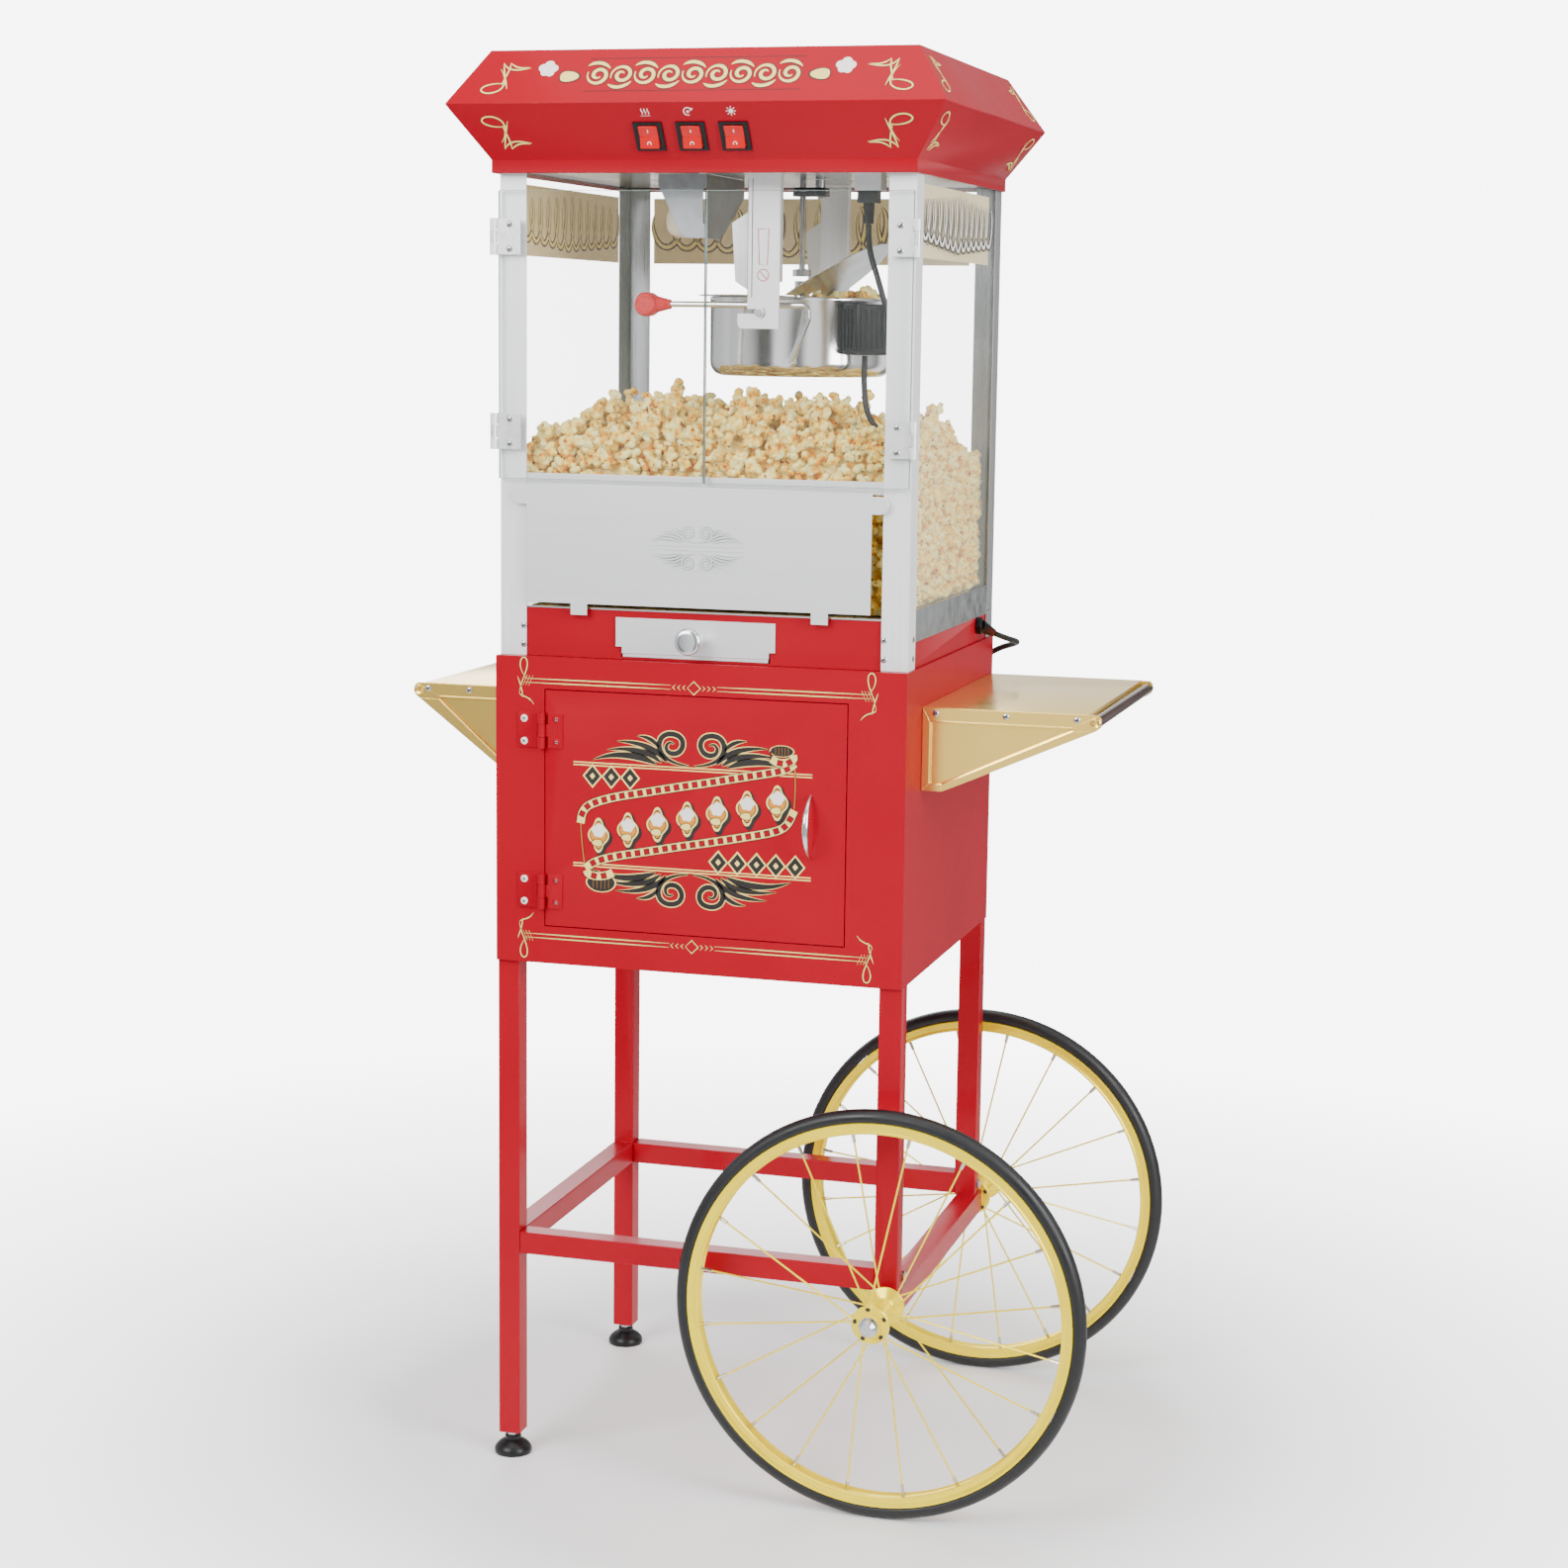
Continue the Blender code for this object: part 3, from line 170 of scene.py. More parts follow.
def make_world():
    """A pale backdrop for the camera, and softer light with darker flags in it for everything else."""
    world = bpy.data.worlds.new("studio")
    world.use_nodes = True
    tree = world.node_tree
    way = add_node(tree, "TexCoord", {}, "Generated")
    across = add_node(tree, "MapRange", {"Value": add_node(tree, "SeparateXYZ", {"Vector": way}),
                                         "From Min": -1.0})
    flags = [(0.0, 0.80), (0.10, 0.75), (0.20, 0.05), (0.30, 0.06), (0.36, 1.15), (0.47, 1.00), (0.54, 0.06),
             (0.64, 0.10), (0.70, 1.25), (0.82, 1.05), (0.88, 0.05), (1.0, 0.55)]
    colour = ramp(tree, across, [(place, (grey, grey, grey)) for place, grey in flags])
    lit = tree.nodes["Background"]
    connect(tree, lit, {"Color": colour, "Strength": 1.15})
    mix = add_node(tree, "MixShader", {0: add_node(tree, "LightPath", {}, "Is Camera Ray"), 1: lit.outputs[0],
                                       2: add_node(tree, "Background", {"Strength": 9.0})})
    connect(tree, tree.nodes["World Output"], {"Surface": mix})
    bpy.context.scene.world = world


def make_floor():
    """A pale matt disc that fades out towards its rim."""
    disc = bmesh.new()
    bmesh.ops.create_circle(disc, cap_ends=True, segments=96, radius=3.6)
    mesh = bpy.data.meshes.new("floor")
    disc.to_mesh(mesh)
    disc.free()
    made = surface("floor", (243, 243, 243), 0.9, vary=0.01, scale=3)
    tree = made.node_tree
    place = add_node(tree, "TexCoord", {}, "Object")
    reach = tree.nodes.new("ShaderNodeVectorMath")
    reach.operation = "LENGTH"
    connect(tree, reach, {0: place})
    fade = scaled(tree, reach.outputs["Value"], 1.0, 0.0, 0.45, 1.9)
    connect(tree, tree.nodes["Principled BSDF"], {"Alpha": fade})
    mesh.materials.append(made)
    link("floor", mesh)


def make_studio():
    make_world()
    make_floor()
    make_light("key", (-1.7, -3.2, 2.7), (0, 0, 0.9), (2.4, 2.0), 160)
    make_light("fill", (3.0, -1.5, 1.8), (0.1, 0, 0.9), (1.6, 2.4), 140)
    make_light("back", (-1.6, 2.8, 2.2), (0, 0, 0.9), (2.4, 2.0), 80)
    make_light("top", (0.2, -0.3, 3.4), (0, 0, 0.6), (2.6, 2.6), 55)


# ---------------------------------------------------------------- materials
def surface(name, colour, roughness, metallic=0.0, vary=0.04, scale=9.0, stretch=(1, 1, 1), rough_vary=0.05,
            bump=0.0, bump_scale=300.0, bump_stretch=None, coat=0.0, specular=0.5):
    """A Principled material whose colour, roughness and height vary with stretched noise."""
    made, tree, shader = start_material(name)
    base = srgb(colour)
    stops = [(0.3, [c * (1 - vary) for c in base]), (0.7, [min(1.0, c * (1 + vary)) for c in base])]
    value = noise(tree, scale, stretch)
    connect(tree, shader, {"Base Color": ramp(tree, value, stops), "Metallic": metallic, "Coat Weight": coat,
                           "Coat Roughness": 0.08, "Specular IOR Level": specular,
                           "Roughness": scaled(tree, value, roughness - rough_vary, roughness + rough_vary)})
    if bump:
        fine = noise(tree, bump_scale, bump_stretch or stretch, 2.0)
        connect(tree, shader, {"Normal": bumps(tree, fine, bump, 0.6)})
    return made


def clear_pane():
    """Clear sheet: nearly nothing face on, and mirror-like where it is seen along its face."""
    made, tree, shader = start_material("clear_pane")
    facing = add_node(tree, "LayerWeight", {"Blend": 0.35}, "Facing")
    connect(tree, shader, {"Base Color": (*srgb((236, 246, 244)), 1.0), "Specular IOR Level": 0.8,
                           "Roughness": scaled(tree, noise(tree, 14.0), 0.01, 0.05),
                           "Alpha": scaled(tree, facing, 0.012, 0.20, 0.0, 1.0)})
    return made


def popcorn_material():
    """White to buttery flesh, with brown where the hull's scraps show."""
    made, tree, shader = start_material("popped_corn")
    white, cream, butter, brown = (srgb(c) for c in ((255, 244, 168), (255, 216, 88), (236, 152, 12),
                                                     (140, 66, 12)))
    flesh = ramp(tree, noise(tree, 95.0, detail=3.0), [(0.40, white), (0.54, cream), (0.66, butter)])
    mix = tree.nodes.new("ShaderNodeMix")
    mix.data_type = "RGBA"
    connect(tree, mix, {0: scaled(tree, noise(tree, 190.0, detail=1.0), 0.0, 1.0, 0.66, 0.72), 6: flesh,
                        7: (*brown, 1.0)})
    connect(tree, shader, {"Base Color": mix.outputs[2], "Specular IOR Level": 0.25,
                           "Subsurface Weight": 0.08,
                           "Roughness": scaled(tree, noise(tree, 160.0), 0.5, 0.75),
                           "Subsurface Radius": (0.004, 0.003, 0.0015),
                           "Normal": bumps(tree, noise(tree, 260.0, detail=3.0), 0.0030, 0.9)})
    return made


RED = surface("red_enamel", (162, 0, 27), 0.34, vary=0.05, scale=5, bump=0.00004, bump_scale=420, coat=0.12,
              specular=0.10)
ALONG_POST = {"scale": 6, "stretch": (60, 60, 1), "bump": 0.00003, "bump_scale": 18,
              "bump_stretch": (60, 60, 1)}
POST = surface("satin_aluminium", (244, 245, 246), 0.36, 0.25, vary=0.03, **ALONG_POST)
# Painted shade: the rear posts are the same aluminium as the front posts, coloured a darker grey where they
# stand in shade.
REAR_POST_SHADED = surface("rear_aluminium_painted_shade", (150, 152, 156), 0.30, 0.4, vary=0.05, **ALONG_POST)
STEEL_X = surface("brushed_steel_across", (238, 239, 241), 0.33, 0.6, vary=0.025, scale=4, rough_vary=0.03,
                  stretch=(1, 120, 260), bump=0.000012, bump_scale=10, bump_stretch=(1, 200, 420))
STEEL = surface("plain_steel_sheet", (220, 222, 225), 0.24, 0.9, vary=0.05, scale=14, bump=0.00003,
                bump_scale=240)
GALVANISED = surface("galvanised_sheet", (150, 154, 158), 0.42, 0.85, vary=0.22, scale=60, rough_vary=0.12,
                     bump=0.00005, bump_scale=150)
CHROME = surface("polished_steel", (228, 229, 232), 0.13, 1.0, vary=0.06, scale=26, stretch=(1, 1, 0.03),
                 bump=0.00001, bump_scale=40, bump_stretch=(1, 1, 0.05))
BOWL = surface("spun_steel_bowl", (234, 235, 238), 0.14, 1.0, vary=0.42, scale=15, stretch=(1, 1, 0.02),
               rough_vary=0.06, bump=0.00002, bump_scale=40, bump_stretch=(1, 1, 0.05))
ZINC = surface("plated_fastener", (200, 202, 205), 0.24, 1.0, vary=0.05, scale=160)
# Painted shade: a flat dark grey put on screw recesses, hub holes and the arms' dark lines, where only shade
# falls.
PAINTED_SHADE = surface("recess_painted_shade", (58, 58, 60), 0.5, 0.6, vary=0.1, scale=200)
BRASS = surface("satin_brass_sheet", (255, 216, 112), 0.20, 0.80, vary=0.03, scale=6, stretch=(1, 14, 1),
                rough_vary=0.03, bump=0.00001, bump_scale=60, bump_stretch=(1, 30, 1))
GOLD = surface("gold_paint", (255, 224, 4), 0.22, 0.35, vary=0.06, scale=26, bump=0.00006, bump_scale=350)
NIPPLE = surface("nickel_nipple", (212, 206, 186), 0.25, 1.0, vary=0.05, scale=200)
RUBBER = surface("tyre_rubber", (15, 16, 19), 0.45, vary=0.25, scale=30, rough_vary=0.1, bump=0.0001,
                 bump_scale=500)
PLASTIC = surface("black_plastic", (13, 13, 15), 0.36, vary=0.2, scale=60, bump=0.00005, bump_scale=900,
                  specular=0.35)
JACKET = surface("cord_jacket", (15, 15, 17), 0.5, vary=0.2, scale=120, bump=0.00004, bump_scale=700)
SWITCH = surface("switch_red", (206, 4, 12), 0.24, vary=0.06, scale=90, specular=0.35)
KNOB_RED = surface("red_vinyl", (206, 14, 18), 0.30, vary=0.07, scale=70, bump=0.00005, bump_scale=600,
                   specular=0.4)
GRIP = surface("dark_gloss_grip", (58, 34, 28), 0.28, vary=0.25, scale=14, stretch=(1, 0.3, 1), coat=0.5)
CREAM = surface("cream_print", (252, 224, 128), 0.45, vary=0.05, scale=40, specular=0.25)
INK = surface("black_print", (28, 24, 22), 0.45, vary=0.2, scale=60)
WHITE = surface("white_print", (246, 242, 234), 0.45, vary=0.03, scale=60)
OCHRE = surface("ochre_print", (222, 140, 30), 0.45, vary=0.06, scale=60, specular=0.25)
BAND = surface("decal_band", (236, 214, 156), 0.5, vary=0.05, scale=12)
DECAL_DARK = surface("decal_print", (96, 70, 30), 0.5, vary=0.08, scale=30)
BULB = surface("frosted_bulb", (250, 240, 214), 0.35, vary=0.03, scale=20)
PANE = clear_pane()
HINGE = surface("bright_zinc_plate", (228, 229, 230), 0.30, 0.5, vary=0.03, scale=120)
LABEL = surface("label_red", (196, 40, 36), 0.5, vary=0.05, scale=60)
PANE_EDGE = surface("pane_edge", (120, 138, 134), 0.2, vary=0.1, scale=30)
CORN = popcorn_material()
# Screw heads: plated dome, with painted shade in the cross recess.
SCREW = [ZINC, PAINTED_SHADE]


# ---------------------------------------------------------------- pieces from mesh code
def keep(name, shape, looks, body="cart", replaces=(), smooth=35):
    """Turn a bmesh into a piece that rides on a body, or on none yet."""
    mesh = bpy.data.meshes.new(name)
    bmesh.ops.recalc_face_normals(shape, faces=shape.faces)
    shape.to_mesh(mesh)
    shape.free()
    for look in looks if isinstance(looks, list) else [looks]:
        mesh.materials.append(look)
    mesh.shade_smooth()
    mesh.set_sharp_from_angle(angle=math.radians(smooth))
    made = link(name, mesh)
    if body:
        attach(made, body)
    if replaces:
        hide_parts(*replaces)
    return made


def round_edges(made, width, angle):
    bevel = made.modifiers.new("edges", "BEVEL")
    bevel.width = width
    bevel.segments = 2
    bevel.limit_method = "ANGLE"
    bevel.angle_limit = math.radians(angle)


def soften(node, look, body="cart", width=0.0004, angle=40):
    """Stand a copy of a CAD node with small rounded edges in its place."""
    shape = bmesh.new()
    shape.from_mesh(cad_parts[node].data)
    bmesh.ops.remove_doubles(shape, verts=shape.verts, dist=0.00002)
    bmesh.ops.dissolve_limit(shape, angle_limit=math.radians(1.0), verts=shape.verts, edges=shape.edges)
    for face in shape.faces:
        face.material_index = 0
    round_edges(keep("soft_" + node, shape, look, body, (node,)), width, angle)


def dress(node, look):
    """Give a CAD node that is shown as it is a better material."""
    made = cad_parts[node]
    for i in range(len(made.data.materials)):
        made.data.materials[i] = look
    made.data.shade_smooth()
    made.data.set_sharp_from_angle(angle=math.radians(35))


def mm(*points, shift=(0, 0)):
    """2D points given in millimetres, moved by a shift in metres."""
    return [Vector((u / 1000 + shift[0], v / 1000 + shift[1])) for u, v in points]


def circle(centre, radius, steps=20, tall=None):
    """Points round a circle, or round an ellipse when its second radius is given."""
    tall = radius if tall is None else tall
    return [(centre[0] + radius * math.cos(a), centre[1] + tall * math.sin(a))
            for a in (2 * math.pi * i / steps for i in range(steps))]


def bend(centre, radius, degrees):
    return [(centre[0] + radius * math.cos(a), centre[1] + radius * math.sin(a)) for a in map(math.radians,
                                                                                              degrees)]


def bezier(p0, p1, p2, p3, steps=12):
    p0, p1, p2, p3 = (Vector(p) for p in (p0, p1, p2, p3))
    return [p0 * (1 - t)**3 + p1 * 3 * t * (1 - t)**2 + p2 * 3 * t * t * (1 - t) + p3 * t**3
            for t in (i / steps for i in range(steps + 1))]


def sweep(steps, *points):
    """Bezier stretches joined end to end, in millimetres, with as many steps in each as given."""
    points = mm(*points)
    made = points[:1]
    for i, count in enumerate(steps):
        made += bezier(*points[3 * i:3 * i + 4], count)[1:]
    return made


def spiral(centre, start, end, first, last, steps=18):
    """Points that wind about a centre from one radius and angle to another, in degrees."""
    made = []
    for i in range(steps + 1):
        t = i / steps
        made += bend(centre, start + (end - start) * t, [first + (last - first) * t])
    return made


def mirrored(half):
    """A half profile with its mirror image. A point on the middle plane isn't repeated."""
    return half + [(u, -v) for u, v in reversed(half) if v]


def join_rings(shape, rings, look=0, closed=False, caps=True):
    """Faces between rings of vertices; a ring of one is a pole, and a closed run joins its two ends."""
    for first, second in zip(rings, rings[1:] + (rings[:1] if closed else [])):
        count = max(len(first), len(second))
        for i in range(count):
            around = (first, i), (first, (i + 1) % count), (second, (i + 1) % count), (second, i)
            corners = list(dict.fromkeys(ring[k % len(ring)] for ring, k in around))
            if len(corners) > 2:
                shape.faces.new(corners).material_index = look
    if caps:
        shape.faces.new(rings[0][::-1]).material_index = look
        shape.faces.new(rings[-1]).material_index = look


def add_box(shape, corner, opposite, bevel):
    """A box between any two opposite corners."""
    low, high = (Vector(map(pick, corner, opposite)) for pick in (min, max))
    made = bmesh.ops.create_cube(shape, size=1.0)["verts"]
    bmesh.ops.scale(shape, vec=high - low, verts=made)
    bmesh.ops.translate(shape, vec=(low + high) / 2, verts=made)
    edges = list({e for v in made for e in v.link_edges})
    bmesh.ops.bevel(shape, geom=edges, offset=bevel, segments=2, profile=0.7, affect="EDGES")


TURNS = {"Z": Matrix.Identity(3), "X": Matrix.Rotation(math.pi / 2, 3, "Y"),
         "Y": Matrix.Rotation(-math.pi / 2, 3, "X"), "-Y": Matrix.Rotation(math.pi / 2, 3, "X")}


def y_way(sign):
    return "Y" if sign > 0 else "-Y"


def add_lathe(shape, profile, centre, axis="Z", steps=48, closed=False, look=0):
    """Revolve (radius, height) points about an axis through centre."""
    turn = TURNS[axis] if isinstance(axis, str) else axis
    rings = []
    for radius, height in profile:
        around = [(0, 0)] if radius < 1e-6 else circle((0, 0), radius, steps)
        rings.append([shape.verts.new(turn @ Vector((u, v, height)) + Vector(centre)) for u, v in around])
    join_rings(shape, rings, look, closed, caps=False)


def heading(points, i):
    return (points[min(i + 1, len(points) - 1)] - points[max(i - 1, 0)]).normalized()


def add_tube(shape, points, radius, sides=10, look=0):
    """A round tube along points; radius may be one number or one for each point."""
    points = [Vector(p) for p in points]
    radii = radius if isinstance(radius, list) else [radius] * len(points)
    across = heading(points[:2], 0).orthogonal().normalized()
    rings = []
    for i, point in enumerate(points):
        ahead = heading(points, i)
        across = (across - ahead * across.dot(ahead)).normalized()
        other = ahead.cross(across)
        rings.append([shape.verts.new(point + radii[i] * (across * u + other * v))
                      for u, v in circle((0, 0), 1, sides)])
    join_rings(shape, rings, look)


class Plane:
    """A flat place on the object: 2D points (u, v) lifted off it along its normal."""

    def __init__(self, origin, along=(1, 0, 0), up=(0, 0, 1), scale=1.0, normal=None):
        self.origin = Vector(origin)
        self.along = Vector(along).normalized()
        self.up = Vector(up).normalized()
        self.normal = self.along.cross(self.up) if normal is None else Vector(normal)
        self.scale = scale

    def __call__(self, point, lift=0.0):
        u, v = point
        return self.origin + (self.along * u + self.up * v) * self.scale + self.normal * lift

    def moved(self, u, v, scale=1.0, flip_u=False, flip_v=False):
        """The same plane about another point, smaller or larger, or mirrored."""
        return Plane(self((u, v)), -self.along if flip_u else self.along, -self.up if flip_v else self.up,
                     self.scale * scale, self.normal)


def add_plate(shape, outline, plane, low, high):
    """A closed prism over a 2D outline, between two heights above its plane."""
    join_rings(shape, [[shape.verts.new(plane(p, height)) for p in outline] for height in (low, high)])


def add_ribbon(shape, points, widths, plane, low, high):
    """A closed flat ribbon along 2D points, with a width at each."""
    points = [Vector(p) for p in points]
    rings = []
    for i, (point, width) in enumerate(zip(points, widths)):
        ahead = heading(points, i)
        side = Vector((-ahead.y, ahead.x)) * (width / 2)
        corners = (side, high), (-side, high), (-side, low), (side, low)
        rings.append([shape.verts.new(plane(point + shift, height)) for shift, height in corners])
    join_rings(shape, rings)


def add_stroke(shape, points, width, plane, low, high, taper=True):
    """A ribbon of one width, thinner at its ends when it tapers."""
    last = len(points) - 1
    shares = [min(1.0, 0.25 + 3.0 * min(i, last - i) / last) if taper else 1.0 for i in range(last + 1)]
    add_ribbon(shape, points, [width * share for share in shares], plane, low, high)


def add_leaf(shape, points, width, plane, low, high):
    """A blade that is pointed at both ends and widest at two fifths of its length."""
    last = len(points) - 1
    swell = [0.06 + 0.94 * math.sin(math.pi * (i / last) ** 0.8) ** 0.8 for i in range(last + 1)]
    add_ribbon(shape, points, [width * share for share in swell], plane, low, high)


def add_screw(shape, place, normal, radius=0.0036, height=0.0014, turn=0.4):
    """A domed screw head (material 0) with its cross recess drawn as a dark cross of painted shade (material
    1).
    """
    normal = Vector(normal).normalized()
    facing = normal.to_track_quat("Z", "Y").to_matrix() @ Matrix.Rotation(turn, 3, "Z")
    dome = [(0, height), (radius * 0.45, height * 0.94), (radius * 0.8, height * 0.62),
            (radius, height * 0.2),
            (radius, 0.0)]
    add_lathe(shape, dome, place, facing, 18)
    for angle in (0, math.pi / 2):
        spin = facing @ Matrix.Rotation(angle, 3, "Z")
        made = bmesh.ops.create_cube(shape, size=1.0)["verts"]
        bmesh.ops.scale(shape, vec=(radius * 1.1, radius * 0.24, height * 0.5), verts=made)
        seat = Matrix.Translation(place + normal * height * 0.78) @ spin.to_4x4()
        bmesh.ops.transform(shape, matrix=seat, verts=made)
        for face in {f for v in made for f in v.link_faces}:
            face.material_index = 1


# ---------------------------------------------------------------- cords
LEAD_RADIUS = 0.0032
CORD_RADIUS = 0.0034
LEAD_ROUTE = [(0.1475, -0.0790, 1.3932), (0.1475, -0.0790, 1.3830), (0.1530, -0.0900, 1.3620),
              (0.1640, -0.1010, 1.3360), (0.1760, -0.1030, 1.3000), (0.1900, -0.1010, 1.2580),
              (0.1970, -0.0970, 1.2200), (0.1930, -0.0920, 1.1880), (0.1770, -0.0860, 1.1720),
              (0.1590, -0.0790, 1.1760), (0.1470, -0.0740, 1.1960), (0.1430, -0.0700, 1.2240),
              (0.1430, -0.0690, 1.2524)]
MAINS_ROUTE = [(0.2465, 0.1548, 0.9310), (0.2500, 0.1612, 0.9285), (0.2590, 0.1760, 0.9230),
               (0.2650, 0.1960, 0.9180), (0.2570, 0.2170, 0.9130), (0.2360, 0.2270, 0.9050),
               (0.2120, 0.2290, 0.8890), (0.1930, 0.2300, 0.8640), (0.1820, 0.2310, 0.8360),
               (0.1770, 0.2265, 0.8120), (0.1760, 0.2115, 0.7920), (0.1740, 0.1930, 0.7740),
               (0.1700, 0.1790, 0.7450), (0.1660, 0.1720, 0.7050), (0.1630, 0.1670, 0.6600),
               (0.1580, 0.1560, 0.6200), (0.1480, 0.1340, 0.5950), (0.1330, 0.1060, 0.5868),
               (0.1130, 0.0800, 0.5855), (0.0860, 0.0680, 0.5853)]
COIL_CENTRE = (0.045, 0.030)
COIL_RADIUS = 0.0375
COIL_START = 62


def smooth_route(points, spacing, sharpness=0.5):
    """Evenly spaced points on a smooth curve through a cord's own route points."""
    route = [Vector(p) for p in points]
    ends = [route[0] * 2 - route[1]] + route + [route[-1] * 2 - route[-2]]
    dense = []
    for i in range(1, len(ends) - 2):
        before, here, ahead, after = ends[i - 1:i + 3]
        for t in (step / 24 for step in range(24)):
            leave = (ahead - before) * sharpness
            arrive = (after - here) * sharpness
            dense.append(here * (2 * t**3 - 3 * t**2 + 1) + leave * (t**3 - 2 * t**2 + t)
                         + ahead * (3 * t**2 - 2 * t**3) + arrive * (t**3 - t**2))
    dense.append(route[-1])
    reach = [0.0]
    for last, point in zip(dense, dense[1:]):
        reach.append(reach[-1] + (point - last).length)
    count = max(2, round(reach[-1] / spacing))
    even = []
    j = 1
    for goal in (reach[-1] * i / count for i in range(count + 1)):
        while j < len(reach) - 1 and reach[j] < goal:
            j += 1
        share = (goal - reach[j - 1]) / max(reach[j] - reach[j - 1], 1e-9)
        even.append(dense[j - 1].lerp(dense[j], share))
    return even


def coil_points(floor):
    """Turns side by side and in three layers, wound in and out inside the coil's own ring."""
    pitch = CORD_RADIUS * 2.06
    rings = [(-0.5, 0), (0.5, 0), (0.5, 1), (-0.5, 1), (-0.5, 2), (0.5, 2)]
    made = []
    for turn, (column, layer) in enumerate(rings):
        after = rings[min(turn + 1, len(rings) - 1)]
        for t in (i / 24 for i in range(24)):
            blend = max(0.0, (t - 0.8) / 0.2)
            blend = blend * blend * (3 - 2 * blend)
            radius = COIL_RADIUS + pitch * (column + (after[0] - column) * blend)
            height = floor + CORD_RADIUS + pitch * (layer + (after[1] - layer) * blend)
            [(x, y)] = bend(COIL_CENTRE, radius, [COIL_START - 360 * (turn + t)])
            made.append(at(x, y, height))
    return made


def make_mains_cord():
    turns = coil_points(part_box("mains_coil")[0].z)[3:]
    points = smooth_route([at(*p) for p in MAINS_ROUTE] + turns[:1], 0.008) + turns[1:]
    curve = bpy.data.curves.new("mains_lead", "CURVE")
    curve.dimensions = "3D"
    curve.bevel_depth = CORD_RADIUS
    curve.bevel_resolution = 4
    curve.use_fill_caps = True
    spline = curve.splines.new("POLY")
    spline.points.add(len(points) - 1)
    for slot, point in zip(spline.points, points):
        slot.co = (*point, 1.0)
    spline.use_smooth = True
    curve.materials.append(JACKET)
    cord = link("mains_lead", curve)
    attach(cord, "cart")
    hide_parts("mains_cord", "mains_coil")


def make_pan_lead():
    points = smooth_route([at(*p) for p in LEAD_ROUTE], 0.004)
    shape = bmesh.new()
    add_tube(shape, points, LEAD_RADIUS, 12)
    lead = keep("pan_power_lead", shape, JACKET, None, ("pan_lead",))
    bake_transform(lead)


# ---------------------------------------------------------------- stand and wheels
SPOKES = 20
SPOKE_LEAN = 16
SPOKE_CIRCLE = 0.0172


def make_wheel(place):
    """Hollow-section rim, crossed spokes with nipples, a hub with painted shade as dark discs for its drilled
    holes, and the tyre.
    """
    body = "wheel_" + place
    low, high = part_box("tyre_" + place)
    centre = (low + high) / 2
    radius = (high.z - low.z) / 2
    rim_outer = radius - 0.0137

    def wheel_point(reach, degrees, y):
        angle = math.radians(degrees)
        return centre + Vector((reach * math.cos(angle), y, reach * math.sin(angle)))

    shape = bmesh.new()
    rim = mm((0, 8.2), (-0.6, 8.9), (-3, 8.9), (-4, 8.2), (-9, 8), (-10, 8.8), (-11.6, 8.7), (-12.4, 7.6),
             (-11.8, 6), (-10.4, 3), (-10, 0), shift=(rim_outer, 0))
    add_lathe(shape, mirrored(rim), centre, "Y", 128, closed=True)
    hub = mm((6.6, 40.2), (10.5, 40.2), (11.2, 39.2), (11.2, 34.5), (20.4, 34.3), (21.2, 33.5), (21.2, 32.2),
             (20.4, 31.4), (12, 30), (9, 27), (8.4, 15))
    add_lathe(shape, mirrored(hub), centre, "Y", 48, closed=True)
    for i in range(SPOKES):
        side = 1 if i % 2 else -1
        angle = 360 * (i + 0.5) / SPOKES
        foot_angle = angle + (SPOKE_LEAN if i % 4 < 2 else -SPOKE_LEAN)
        start = wheel_point(SPOKE_CIRCLE, foot_angle, side * 0.033)
        end = wheel_point(rim_outer - 0.0112, angle, 0.0)
        way = (end - start).normalized()
        outward = Vector((0, side * 0.0014, 0))
        add_tube(shape, [start + outward, start + outward * 0.6 + way * 0.003, start + way * 0.010, end],
                 0.00105, 8)
        add_tube(shape, [end + way * step for step in (-0.0125, -0.0118, -0.003, 0.001)],
                 [0.0012, 0.0019, 0.0021, 0.0021], 8, look=1)
        # Dark discs on the flange: painted shade where the spokes pass through its holes.
        add_lathe(shape, mm((0, 0.6), (1.9, 0.5), (2.1, 0)),
                  wheel_point(SPOKE_CIRCLE, foot_angle, side * 0.0348),
                  y_way(side), 10, look=2)
    keep("spoked_" + body, shape, [GOLD, NIPPLE, PAINTED_SHADE], body, (body,), smooth=40)
    shape = bmesh.new()
    tread = radius - 0.0096
    flank = mm((0.3, 8.2), (1.5, 9.4), shift=(rim_outer, 0))
    flank += [(tread + 0.0096 * math.cos(a), 0.0100 * math.sin(a)) for a in map(math.radians,
                                                                                range(78, 5, -12))]
    add_lathe(shape, mirrored(flank), centre, "Y", 144, closed=True)
    keep("rubber_" + place, shape, RUBBER, body, ("tyre_" + place,), smooth=60)


def make_axle_ends():
    """Washers and hexagon nuts over the CAD axle's ends, and the bolt heads on the short legs."""
    middle, reach = middle_of("axle"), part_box("axle")[1].y - 0.0095
    shape = bmesh.new()
    for sign in (-1, 1):
        washer = Vector((middle.x, sign * (reach + 0.0002), middle.z))
        add_lathe(shape, mm((0, 0.6), (10.4, 0.6), (10.8, 0), (10.8, -0.4), (0, -0.4)), washer, "Y", 32)
        nut = Vector((middle.x, reach if sign > 0 else -reach - 0.0062, middle.z))
        add_lathe(shape, mm((0, 6.2), (7.8, 6.2), (8.8, 5.2), (8.8, 0), (0, 0)), nut, "Y", 6)
    for y in (-0.181, 0.195):
        add_lathe(shape, mm((0, 4.2), (5, 4.2), (6, 3.2), (6, 0), (0, 0)), at(CABINET_X - 0.0006, y, 0.2520),
                  "X", 6)
    keep("axle_nuts", shape, ZINC, smooth=30)


